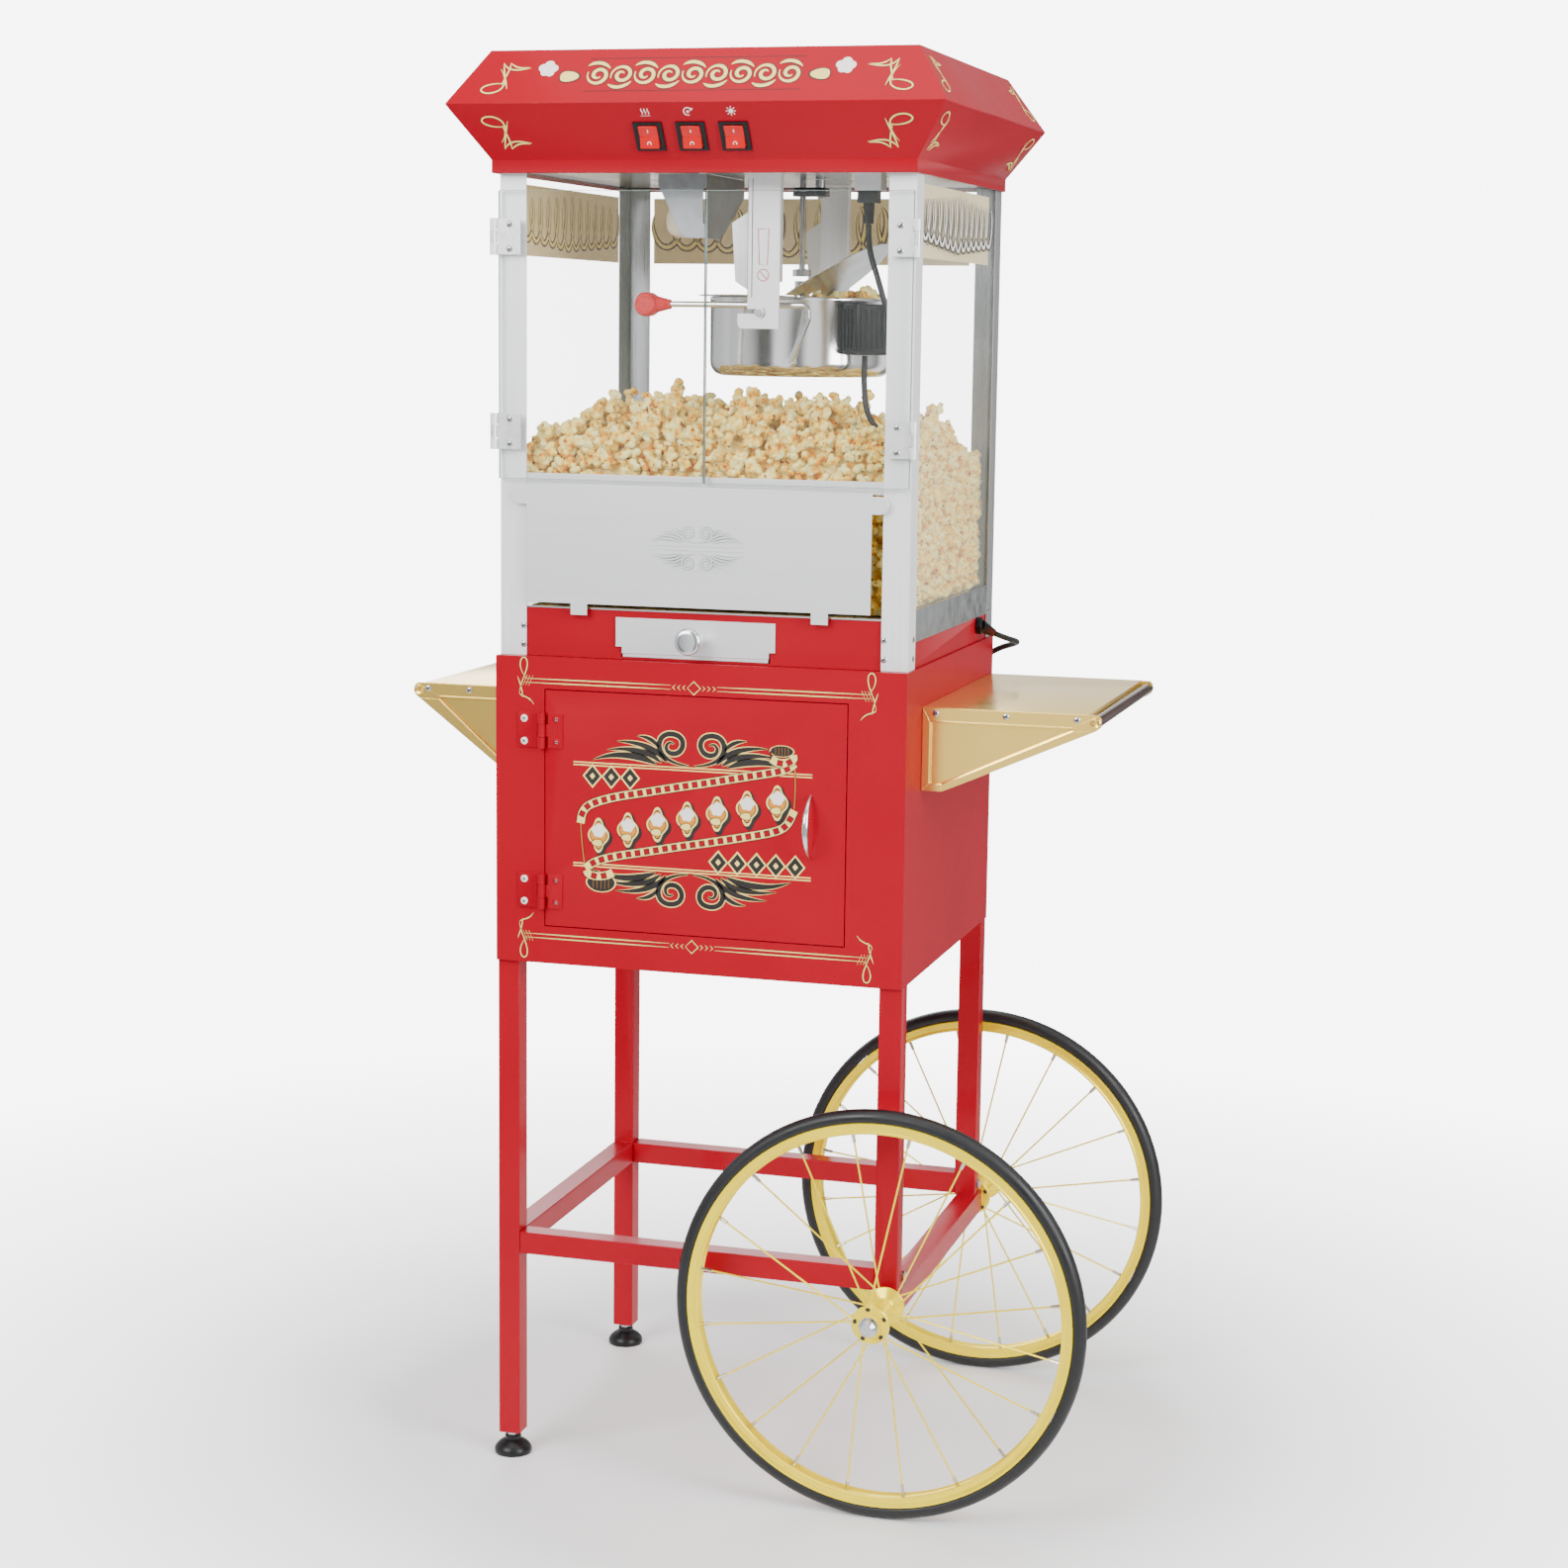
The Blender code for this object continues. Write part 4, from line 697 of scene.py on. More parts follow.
def make_stand():
    for node in ("left_leg_frame", "right_leg_frame", "rail_front", "rail_rear"):
        soften(node, RED, width=0.0011, angle=50)
    for place in ("foot_front_left", "foot_rear_left"):
        centre = middle_of(place)
        centre.z = 0
        shape = bmesh.new()
        foot = mm((0, 21.5), (8.2, 21.5), (9.2, 20.5), (9.2, 16.5), (12, 14.8), (16.5, 11.8), (20, 8),
                  (21.4, 5),
                  (21.4, 2), (20.6, 0), (0, 0))
        add_lathe(shape, foot, centre)
        add_lathe(shape, mm((0, 24.5), (6.6, 24.5), (7.2, 23.8), (7.2, 21.5), (0, 21.5)), centre, "Z", 6,
                  look=1)
        add_lathe(shape, mm((0, 48), (3.8, 48), (3.8, 23), (0, 23)), centre, "Z", 20, look=1)
        keep("levelling_" + place, shape, [PLASTIC, ZINC], place, (place,))


# ---------------------------------------------------------------- cabinet and shelves
def make_cabinet():
    soften("cabinet_shell", RED, width=0.0006)
    soften("cabinet_door", RED, "cabinet_door", 0.0006)
    turns = [math.radians(-60 + 6 * i) for i in range(21)]
    bow = [(-0.0003, -0.0340)]
    bow += [(0.0166 - 0.0380 * math.cos(a), 0.0380 * math.sin(a)) for a in turns]
    bow += [(-0.0003, 0.0340)]
    thick = [0.0017, *(0.0017 + 0.0021 * math.cos(1.5 * a) ** 2 for a in turns), 0.0017]
    shape = bmesh.new()
    add_tube(shape, [at(0.1290, CABINET_FRONT + out, 0.7515 + up) for out, up in bow], thick, 14)
    keep("door_pull_bow", shape, CHROME, "cabinet_door", ("door_pull",))
    for name, x, radius, turn, looks, slot, body in (
            ("cabinet_hinge_screws", -0.1990, 0.0041, 40, [WHITE, PAINTED_SHADE], "bright_steel", "cart"),
            ("door_hinge_screws", -0.1610, 0.0040, 70, [RED, ZINC], "red_paint", "cabinet_door")):
        shape = bmesh.new()
        for z in (0.8413, 0.6620):
            for up in (-0.0125, 0.0125):
                add_screw(shape, at(x, CABINET_FRONT - 0.0016, z + up), (0, -1, 0), radius, 0.0015, z * turn)
        keep(name, shape, looks, body)
    shape = bmesh.new()
    grommet = mm((13, 3), (20, 3), (21.2, 2), (21.2, 0), (16.8, 0), (16.8, -1.8), (20, -1.8), (20, -4),
                 (13, -4))
    add_lathe(shape, grommet, at(0.176, CABINET_REAR, 0.792), "Y", 32, closed=True)
    keep("cable_grommet", shape, RUBBER)


def make_shelf(side, sign):
    """Folded plate, embossed end gussets with a raised rim, screws and the round grip."""
    low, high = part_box("shelf_" + side)
    top = high.z
    root = sign * (CABINET_X + 0.0003)
    outer = (high.x if sign > 0 else low.x) - MIDDLE_X
    reach = outer - sign * 0.0135
    fold = sign * 0.0015
    front, rear = low.y, high.y
    ends = ((front, -1), (rear, 1))
    shape = bmesh.new()
    add_box(shape, at(root, front + 0.0005, top - 0.0015), at(reach, rear - 0.0005, top), 0.0006)
    add_box(shape, at(root, front + 0.001, top - 0.018), at(root + fold, rear - 0.001, top - 0.001), 0.0004)
    add_box(shape, at(reach, front + 0.001, top - 0.0080), at(reach - fold, rear - 0.001, top - 0.0006),
            0.0004)
    length = abs(outer - root)
    depth = (top - low.z) * 1000
    tip = length * 1000
    for y, facing in ends:
        plane = Plane(at(root, y, top), (sign, 0, 0), normal=(0, facing, 0))
        outline = mm((0.2, -0.4), (0.2, -depth), (23.5, -depth), (tip - 6, -17.5), (tip - 1, -13.5),
                     (tip - 0.2, -4.5), (tip - 3.5, -0.4))
        add_plate(shape, outline, plane, -0.0048, -0.0036)
        inner = mm((8, -14.5), (8, 7.2 - depth), (22.5, 7.2 - depth), (tip - 30, -18.5), (tip - 31, -14.5))
        for outside, inside in (((0, 1), (1, 0)), ((1, 2), (2, 1)), ((2, 3), (3, 2)), ((3, 4, 5, 6), (4, 3)),
                                ((6, 0), (0, 4))):
            strip = [outline[i] for i in outside] + [inner[i] for i in inside]
            add_plate(shape, strip, plane, -0.0040, 0.0)
        for first, second in zip(inner, inner[1:] + inner[:1]):
            add_tube(shape, [plane(first, -0.0020), plane(second, -0.0020)], 0.0021, 8)
    round_edges(keep("side_shelf_" + side, shape, BRASS, replaces=("shelf_" + side,)), 0.0003, 50)
    shape = bmesh.new()
    for share in (0.075, 0.47, 0.865):
        for y, facing in ends:
            add_screw(shape, at(root + sign * length * share, y, top - 0.0062), (0, facing, 0),
                      turn=share * 9)
    keep("shelf_screws_" + side, shape, SCREW)
    grip = f"shelf_{side}_grip"
    low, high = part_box(grip)
    middle = (low + high) / 2
    radius = (high.z - low.z) / 2
    half = (high.y - low.y) / 2
    shape = bmesh.new()
    end = [(0, half), (radius - 0.0012, half), (radius - 0.0002, half - 0.001), (radius, half - 0.004)]
    add_lathe(shape, mirrored(end), middle, "Y", 32)
    keep("grip_" + side, shape, GRIP, replaces=(grip,))
    shape = bmesh.new()
    cap = [(0, 0.0006), (0.28, 0.0006), (0.33, 0.0018), (0.70, 0.0024), (0.92, 0.0016), (0.99, 0.0004),
           (0.99, -0.0008), (0, -0.0008)]
    for y, facing in ends:
        add_lathe(shape, [(u * radius, v) for u, v in cap], (middle.x, y, middle.z), y_way(facing), 32)
    keep("grip_caps_" + side, shape, BRASS)


# ---------------------------------------------------------------- popper case
def make_pane(node, body="cart"):
    """A polished pane: the two large faces are clear and the edges are tinted."""
    low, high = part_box(node)
    shape = bmesh.new()
    add_box(shape, low, high, 0.0004)
    size = high - low
    thin = min(range(3), key=lambda i: size[i])
    shape.normal_update()
    for face in shape.faces:
        face.material_index = 0 if abs(face.normal[thin]) > 0.99 else 1
    keep("pane_" + node, shape, [PANE, PANE_EDGE], body, (node,))


def make_case():
    for side, _ in SIDES:
        soften("post_front_" + side, POST)
        soften("post_rear_" + side, REAR_POST_SHADED)
    for node in ("side_glass_left", "side_glass_right", "rear_glass"):
        make_pane(node)
    for side, _ in SIDES:
        make_pane("door_glass_" + side, "glass_door_" + side)
        for level in ("lower", "upper"):
            soften(f"door_hinge_{side}_{level}", HINGE, "glass_door_" + side, 0.0003)
    soften("popper_base", RED)
    dress("sifting_deck", STEEL)
    soften("front_sill", STEEL_X, width=0.0005)
    soften("retaining_panel", STEEL_X, "retaining_panel", 0.0005)
    soften("kernel_drawer", STEEL_X, "kernel_drawer")
    centre = middle_of("drawer_knob")
    centre.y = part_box("drawer_knob")[1].y
    knob = mm((0, 23.8), (8, 24), (11.8, 23.6), (14, 22.2), (14.8, 20), (14.4, 17.8), (12.8, 15.8),
              (9.6, 13.8),
              (7.2, 11.2), (6.2, 7), (6.4, 3.5), (7.8, 0.8), (7.8, 0), (0, 0))
    shape = bmesh.new()
    add_lathe(shape, knob, centre, "-Y", 64)
    keep("turned_drawer_knob", shape, STEEL, "kernel_drawer", ("drawer_knob",), smooth=50)


def make_gland():
    """The black gland nut and its tapered strain relief, where the mains cord leaves the base."""
    shape = bmesh.new()
    nut = mm((0, 7.8), (8.4, 7.8), (9.8, 6.6), (9.8, 0.4), (0, 0.4))
    add_lathe(shape, nut, at(0.2292, 0.136, 0.941), "X", 8)
    neck = Vector((0.2342, 0.136, 0.941))
    ribs = [(0, -1)]
    for i in range(8):
        radius = 7.4 - 2.6 * i / 7
        ribs += [(radius, 3 * i), (radius, 3 * i + 1.9), (radius - 1, 3 * i + 2), (radius - 1, 3 * i + 2.9)]
    way = (Vector(MAINS_ROUTE[0]) - neck).to_track_quat("Z", "Y").to_matrix()
    add_lathe(shape, mm(*ribs, (0, 24)), at(*neck), way, 24)
    keep("cord_gland", shape, PLASTIC)


def make_case_screws():
    shape = bmesh.new()
    for sign in (-1, 1):
        for z in (0.9550, 0.9345):
            for x, y, way, turn in ((0.2040, POST_FRONT, (0, -1, 0), 300),
                                    (0.2310, -0.1820, (sign, 0, 0), 170),
                                    (0.2310, 0.1880, (sign, 0, 0), 90), (0.2060, POST_REAR, (0, 1, 0), 50)):
                add_screw(shape, at(sign * x, y, z), way, 0.0035, turn=z * turn)
    keep("case_screws", shape, SCREW)
    for side, sign in SIDES:
        shape = bmesh.new()
        for z in (1.1665, 1.3745):
            for up in (-0.0130, 0.0130):
                add_screw(shape, at(sign * 0.2165, -0.2114, z + up), (0, -1, 0), turn=z * 80)
        keep("glass_hinge_screws_" + side, shape, SCREW, "glass_door_" + side)


def make_glass_rails():
    """The grey rails that hold the panes' lower edges, between the corner posts."""
    shape = bmesh.new()
    for sign in (-1, 1):
        add_box(shape, at(sign * 0.22945, -0.1710, 0.9510), at(sign * 0.23080, 0.1808, 0.9850), 0.0004)
    add_box(shape, at(-0.2004, 0.20980, 0.9510), at(0.2004, 0.21120, 0.9850), 0.0004)
    keep("glass_rails", shape, GALVANISED)


# ---------------------------------------------------------------- hood and switches
HOOD_FOOT, HOOD_BEND, HOOD_TOP = 1.455, 1.511, 1.569
HOOD_FLARE = 0.038
HOOD_HALF = 0.2348
HOOD_FRONT = -0.2175
HOOD_SLOPE = math.atan2(HOOD_FLARE, HOOD_BEND - HOOD_FOOT)
TOP_SLOPE = math.atan2(HOOD_FLARE, HOOD_TOP - HOOD_BEND)
ROCKERS = (("heat", -0.0508), ("motor", -0.0038), ("light", 0.0432))


def lower_hip(x, z, up=(0, -math.sin(HOOD_SLOPE), math.cos(HOOD_SLOPE))):
    """A plane on the front lower hip's outer face."""
    return Plane(at(x, HOOD_FRONT - HOOD_FLARE * (z - HOOD_FOOT) / (HOOD_BEND - HOOD_FOOT), z), up=up)


def upper_hip(x, z, up=(0, math.sin(TOP_SLOPE), math.cos(TOP_SLOPE))):
    return Plane(at(x, HOOD_FRONT - HOOD_FLARE * (HOOD_TOP - z) / (HOOD_TOP - HOOD_BEND), z), up=up)


def make_hood():
    soften("hood", RED, width=0.0007, angle=20)
    dress("ceiling_plate", STEEL)
    dress("gear_motor", PLASTIC)
    corners = ((-1, -1), (1, -1), (1, 1), (-1, 1))
    for name, x in ROCKERS:
        plane = lower_hip(x, 1.478)
        shape = bmesh.new()
        outer, inner, lining = (mm(*((u * wide, v * tall) for u, v in corners))
                                for wide, tall in ((15.8, 16.6), (10.8, 13.8), (11.124, 14.214)))
        for i, j in ((0, 1), (1, 2), (2, 3), (3, 0)):
            add_plate(shape, [outer[i], outer[j], inner[j], inner[i]], plane, 0.0, 0.0018)
            add_plate(shape, [lining[i], lining[j], inner[j], inner[i]], plane, -0.0075, 0.0008)
        keep("bezel_" + name, shape, PLASTIC)
        rocker = "rocker_" + name
        soften(rocker, SWITCH, rocker, 0.0006, 20)
        tipped = Plane(plane.origin, up=Matrix.Rotation(math.radians(-8), 3, "X") @ plane.up)
        shape = bmesh.new()
        line = mm((0, 9.4), (0, 5.0))
        add_stroke(shape, line, 0.0009, tipped, 0.0030, 0.0042, taper=False)
        ring = circle((0, -0.0072), 0.0020, 16)
        add_stroke(shape, ring + ring[:1], 0.0008, tipped, 0.0030, 0.0042, taper=False)
        keep("rocker_marks_" + name, shape, WHITE, rocker)


# ---------------------------------------------------------------- ornament
UNDER = (-0.0001, 0.00012)
OVER = (0.00005, 0.00024)
MARK = (-0.0001, 0.0002)


def corner_flourish():
    """A pinstriper's flourish: a leaning loop, two long crossing strokes and a double tail."""
    return [sweep((14, 10, 10), (5, 9), (-2, 4), (-24, 8), (-23, 15), (-20, 22), (-2, 20), (1, 11), (3, 4),
                  (-1, -6),
                  (-6, -12)),
            sweep([12], (6, 14), (3, 4), (-2, -8), (-4, -20)),
            sweep([12], (-1, 8), (2, -4), (5, -12), (4, -20)),
            sweep([12], (-4, -20), (2, -10), (10, -9), (28, -13)),
            sweep([10], (4, -20), (10, -14), (16, -12), (26, -14))]


def line_flourish():
    """The smaller one on the pinstripes: a loop above, short strokes over the lines and a curled tail."""
    return [sweep((12, 10, 10), (2, 2), (-5, 8), (-9, 20), (-3, 25), (3, 27), (4, 17), (0, 8), (-3, 1),
                  (-6, -8),
                  (-7, -14)),
            sweep([12], (-7, -14), (-5, -19), (4, -16), (10, -26)),
            sweep([10], (-9, 4), (-6, -4), (-3, -12), (-3, -19)),
            *(mm((-6 + 3.4 * i, -5.5), (-1 + 3.4 * i, 6.0)) for i in range(4))]


def double_print(gold, ink, strokes, width, plane, edge=0.0011):
    """Print strokes twice: a wider dark one below and a pale one on it."""
    for points in strokes:
        add_stroke(ink, points, (width + edge) / plane.scale, plane, *UNDER)
        add_stroke(gold, points, width / plane.scale, plane, *OVER)


def make_cabinet_lines():
    """Double pinstripes with diamonds and a flourish in each corner of the cabinet's front."""
    gold, ink = bmesh.new(), bmesh.new()
    plane = Plane(at(0, CABINET_FRONT, 0))
    for z, up in ((0.8955, 1), (0.6105, -1)):
        for off in (-0.0022, 0.0022):
            for start, end in ((-0.199, -0.030), (0.022, 0.194)):
                line = [(start + (end - start) * i / 6, z + off) for i in range(7)]
                double_print(gold, ink, [line], 0.0013, plane, 0.0007)
        middle = plane.moved(-0.004, z)
        diamond = mm((-7.5, 0), (0, 7.2), (7.5, 0), (0, -7.2), (-7.5, 0))
        double_print(gold, ink, [diamond], 0.0013, middle, 0.0007)
        for sign in (-1, 1):
            for i in range(3):
                u = sign * (9.5 + 5.8 * i)
                double_print(gold, ink, [mm((u, 3), (u + sign * 3, 0), (u, -3))], 0.0011, middle, 0.0006)
        for x, flip in ((-0.1985, False), (0.1925, True)):
            corner = plane.moved(x, z, flip_u=flip, flip_v=up < 0)
            double_print(gold, ink, line_flourish(), 0.0012, corner, 0.0009)
    keep("cabinet_lines_pale", gold, CREAM)
    keep("cabinet_lines_dark", ink, INK)


def add_kernel(gold, ink, plane, scale):
    """A teardrop kernel of corn, pale with a dark edge."""
    drop = [(10.5 * math.cos(a) * (1 - 0.28 * math.cos(a)) * scale, 6.8 * math.sin(a) * scale)
            for a in (2 * math.pi * i / 22 for i in range(22))]
    add_plate(ink, mm(*((u * 1.16, v * 1.2) for u, v in drop)), plane, *UNDER)
    add_plate(gold, mm(*drop), plane, *OVER)


def add_puff(white, plane, scale):
    """A popped piece drawn as overlapping round lobes."""
    lobes = ((-0.0046, 0.0012, 0.0040), (0.0006, 0.0040, 0.0046), (0.0052, 0.0006, 0.0038),
             (0.0022, -0.0036, 0.0040), (-0.0026, -0.0034, 0.0036))
    for i, (u, v, radius) in enumerate(lobes):
        add_plate(white, circle((u * scale, v * scale), radius * scale, 16), plane, MARK[0],
                  MARK[1] + 0.00004 * i)


def wave_scrolls(count, pitch, height):
    """A running row of thick scrolls, each one winding into its own centre."""
    made = []
    for i in range(count):
        u = (i - (count - 1) / 2) * pitch
        sign = 1 if i % 2 else -1
        made.append(spiral((u, 0), height * 0.52, height * 0.12, sign * 200, sign * (200 - 520), 30))
        made.append(bezier(*((u + pitch * along, -sign * height * off) for along, off in
                             ((-0.5, 0.5), (-0.25, 0.75), (0.2, 0.7), (0.45, 0.35))), 10))
    return made


def switch_icon(name, white, icon):
    """Rising heat, a turning arrow or a lamp with its rays."""
    if name == "heat":
        for u in (-3.4, 0, 3.4):
            add_stroke(white, sweep([8], (u, -3), (u + 2.4, -0.8), (u - 2.4, 1.6), (u, 4.2)), 0.0010, icon,
                       *MARK)
        add_stroke(white, mm((-5.5, -4.6), (5.5, -4.6)), 0.0011, icon, *MARK)
    elif name == "motor":
        add_stroke(white, spiral((0, 0), 0.0048, 0.0042, 30, 300, 16), 0.0011, icon, *MARK)
        add_plate(white, circle((0, 0), 0.0015, 12), icon, *MARK)
        add_plate(white, mm((1.8, 4.2), (6.2, 3.6), (3.2, 0.6)), icon, *MARK)
    else:
        centre = (0, 0.0004)
        add_plate(white, circle(centre, 0.0026, 14), icon, *MARK)
        for ray in zip(circle(centre, 0.0036, 8), circle(centre, 0.0054, 8)):
            add_stroke(white, ray, 0.0009, icon, *MARK, taper=False)


def make_hood_print():
    gold, ink, white = bmesh.new(), bmesh.new(), bmesh.new()
    upper = upper_hip(-0.0020, 1.5405)
    double_print(gold, ink, wave_scrolls(9, 0.0262, 0.0240), 0.0040, upper, 0.0024)
    for v in (0.0215, -0.0205):
        add_stroke(ink, [(-0.118, v), (0.118, v)], 0.0008, upper, -0.0001, 0.0001, taper=False)
    for sign in (-1, 1):
        add_kernel(gold, ink, upper.moved(sign * 0.1395, -0.0015, flip_u=sign < 0), 1.0)
        add_puff(white, upper.moved(sign * 0.1625, 0.0085), 1.25)
    lower = lower_hip(0, 1.483)
    for x, flip in ((-0.2120, False), (0.2120, True)):
        for corner in (upper.moved(x + 0.0020, -0.003, flip_u=flip, flip_v=True),
                       lower.moved(x, -0.001, flip_u=flip)):
            double_print(gold, ink, corner_flourish(), 0.0017, corner)
    for sign in (1, -1):
        for z, slope, rise in ((1.483, HOOD_SLOPE, 1), (1.540, TOP_SLOPE, -1)):
            side = Plane(at(sign * (HOOD_HALF + HOOD_FLARE * 0.5), -0.2020, z), (0, sign, 0),
                         (sign * rise * math.sin(slope), 0, math.cos(slope)),
                         normal=(sign * math.cos(slope), 0, -rise * math.sin(slope)))
            for y, flip in ((0.0, sign < 0), (0.4000, sign > 0)):
                corner = side.moved(sign * y, 0, 1.15, flip_u=flip, flip_v=rise < 0)
                double_print(gold, ink, corner_flourish(), 0.0017, corner)
    for name, x in ROCKERS:
        switch_icon(name, white, lower_hip(x, 1.5015))
    keep("hood_print_pale", gold, CREAM)
    keep("hood_print_dark", ink, INK)
    keep("hood_print_white", white, WHITE)


def leaf_spray(sign):
    """Half a spray: what lays each line, its points and its width, blades first and the scroll last."""
    blades = [(add_leaf, sweep([16], (-28, 3), (-38, 17), (-56, 25), (-87, 24)), 0.0060),
              (add_leaf, sweep([16], (-34, 2), (-46, 14), (-66, 19), (-98, 14)), 0.0058),
              (add_leaf, sweep([16], (-40, 1), (-58, 9), (-84, 14), (-114, 2)), 0.0070),
              (add_leaf, sweep([12], (-37, 19), (-43, 27), (-50, 31), (-63, 31)), 0.0046),
              (add_stroke, sweep((12, 8, 8, 8, 6), (-3, 1), (-20, 2), (-36, 8), (-37, 22), (-37, 33),
                                 (-28, 36),
                                 (-21, 35), (-10, 34), (-7, 24), (-13, 17), (-18, 11), (-30, 13), (-29, 21),
                                 (-28, 26), (-23, 27), (-20, 24)), 0.0056)]
    return [(lay, [Vector((-p.x * sign, p.y)) for p in points], width) for lay, points, width in blades]


def film_strip(gold, red, ink, points, plane, lift):
    """A pale strip with a dark edge and a row of framed square holes along it."""
    line = smooth_route(points, 0.0040)
    add_stroke(ink, line, 0.0106, plane, lift - 0.0002, lift + 0.00005, taper=False)
    add_stroke(gold, line, 0.0090, plane, lift, lift + 0.00012, taper=False)
    marks = smooth_route(points, 0.0108)
    for i in range(1, len(marks) - 1):
        ahead = heading(marks, i)
        side = Vector((-ahead.y, ahead.x))
        for shape, half, high in ((ink, 0.0034, 0.00019), (red, 0.0025, 0.00026)):
            hole = [marks[i] + (ahead * a + side * b) * half for a, b in ((-1, -1), (1, -1), (1, 1), (-1, 1))]
            add_plate(shape, hole, plane, lift + 0.00008, lift + high)


def add_medallion(inks, plane, u, v):
    """A lobed shield in four layers, with a popped piece and a kernel on it."""
    gold, ink, ochre, white, _ = inks
    for shape, grow, shift, low, high in ((ink, 1.10, 2.4, -0.0001, 0.00016), (gold, 1.0, 0, 0.0001, 0.00028),
                                          (ink, 0.84, 0, 0.0002, 0.00034), (ochre, 0.76, 0, 0.0003, 0.00040)):
        outline = [((u + shift + 12.5 * grow * math.cos(a) * (0.84 + 0.16 * math.cos(4 * a))),
                    v - shift + 19.5 * grow * math.sin(a) * (0.90 + 0.10 * math.cos(4 * a)))
                   for a in (2 * math.pi * k / 40 for k in range(40))]
        add_plate(shape, mm(*outline), plane, low, high)
    add_puff(white, Plane(plane((u / 1000, (v + 5) / 1000), 0.0004)), 0.95)
    add_kernel(gold, ink, Plane(plane((u / 1000, (v - 8.5) / 1000), 0.0004)), 0.55)


def add_roll(inks, plane, u, v, wide, tall):
    """The ribbon's rolled end: a dark oval with a pale edge and ribs."""
    gold, ink, ochre, _, _ = inks
    add_plate(gold, circle((u, v), wide * 1.10, 32, tall * 1.10), plane, -0.0001, 0.00030)
    add_plate(ink, circle((u, v), wide, 32, tall), plane, 0.0002, 0.00040)
    for k in range(-2, 3):
        x = u + wide * k * 0.28
        half = tall * math.sqrt(1 - (k * 0.28) ** 2) * 0.75
        add_stroke(ochre, [(x, v - half), (x, v + half)], 0.0010, plane, 0.00035, 0.00046)


def make_door_print():
    """Leaf sprays on two rules, a rising ribbon edged with film strip and a row of medallions."""
    gold, ink, ochre, white, red = inks = [bmesh.new() for _ in range(5)]
    plane = Plane(at(-0.0035, CABINET_FRONT, 0.7505))
    for v, flip in ((0.0589, False), (-0.0589, True)):
        base = plane.moved(-0.0024, v, flip_v=flip)
        for sign in (-1, 1):
            for lay, points, width in leaf_spray(sign):
                lay(gold, points, width + 0.0022, base, -0.0001, 0.00010)
                lay(ink, points, width, base, 0.00006, 0.00018)
        for off in (-1.2, -4.2):
            add_stroke(gold, mm((-136, off), (136, off)), 0.0013, base, -0.0001, 0.00022, taper=False)
    for side in (mm((-130, -8), (-128, -34), (-125, -58)), mm((114, 67), (115, 44), (114, 20))):
        line = smooth_route(side, 0.004)
        add_stroke(ink, line, 0.0022, plane, -0.0001, 0.00025, taper=False)
        add_stroke(ochre, line, 0.0009, plane, 0.0002, 0.00034, taper=False)
    add_roll(inks, plane, 0.0995, 0.0815, 0.0127, 0.0058)
    add_roll(inks, plane, -0.106, -0.075, 0.0160, 0.0100)
    add_stroke(ink, mm((87, 81), (87, 71)), 0.0016, plane, -0.0001, 0.0003, taper=False)
    for lift, points in ((0.00036, mm((112, 78), (112, 72), (104, 69), (95, 69), (88, 73))),
                         (0.00050, mm((-123, -62), (-119, -67), (-108, -68), (-98, -66), (-92, -63))),
                         (0.00024, mm((-130, -10), (-127, 3), (-117, 12), (-90, 21), (-54, 28.5), (-18, 36),
                                      (18, 43),
                                      (54, 50.5), (92, 58.5), (106, 63), (114, 69))),
                         (0.00024, mm((-124, -60), (-112, -52), (-90, -45), (-54, -37.5), (-18, -30),
                                      (18, -23),
                                      (54, -15.5), (92, -6.5), (106, 2), (114, 18)))):
        film_strip(gold, red, ink, points, plane, lift)
    for i in range(7):
        add_medallion(inks, plane, -109 + 34 * i, -22.5 + 7.9 * i)
    for u, v, count in ((-94.5, 43, 3), (72.5, -44, 5)):
        for x in (u + (i - (count - 1) / 2) * 21.8 for i in range(count)):
            for shape, grow, low, high in ((gold, 1.24, -0.0001, 0.00012), (ink, 1.0, 0.00008, 0.00022),
                                           (gold, 0.34, 0.0002, 0.0003)):
                wide, tall = 9.2 * grow, 10.8 * grow
                add_plate(shape, mm((x, v - tall), (x + wide, v), (x, v + tall), (x - wide, v)), plane, low,
                          high)
    for name, shape, look in (("pale", gold, CREAM), ("dark", ink, INK), ("ochre", ochre, OCHRE),
                              ("white", white, WHITE), ("red", red, RED)):
        keep("door_print_" + name, shape, look, "cabinet_door")


def make_panel_emboss():
    """A shallow pressed ornament in the middle of the retaining panel, with painted shade as a faint darker
    edge round it.
    """
    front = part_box("retaining_panel")[0].y
    raised, edge = bmesh.new(), bmesh.new()
    plane = Plane(at(-0.0030, front, 1.0460), scale=0.46)
    for v, flip in ((0.012, False), (-0.012, True)):
        base = plane.moved(0, v, flip_v=flip)
        for sign in (-1, 1):
            for lay, points, width in leaf_spray(sign):
                # Painted shade: a wider, darker layer under each raised line, standing for the shade round
                # the pressing.
                lay(edge, points, width + 0.0016, base, -0.0003, 0.00015)
                lay(raised, points, width * 0.7, base, -0.0003, 0.0009)
    for v in (-0.005, 0.005):
        add_stroke(edge, [(-0.118, v), (0.118, v)], 0.0042, plane, -0.0003, 0.00015)
        add_stroke(raised, [(-0.118, v), (0.118, v)], 0.0024, plane, -0.0003, 0.0009)
    keep("panel_emboss", raised, STEEL_X, "retaining_panel")
    keep("panel_emboss_painted_shade", edge, GALVANISED, "retaining_panel")


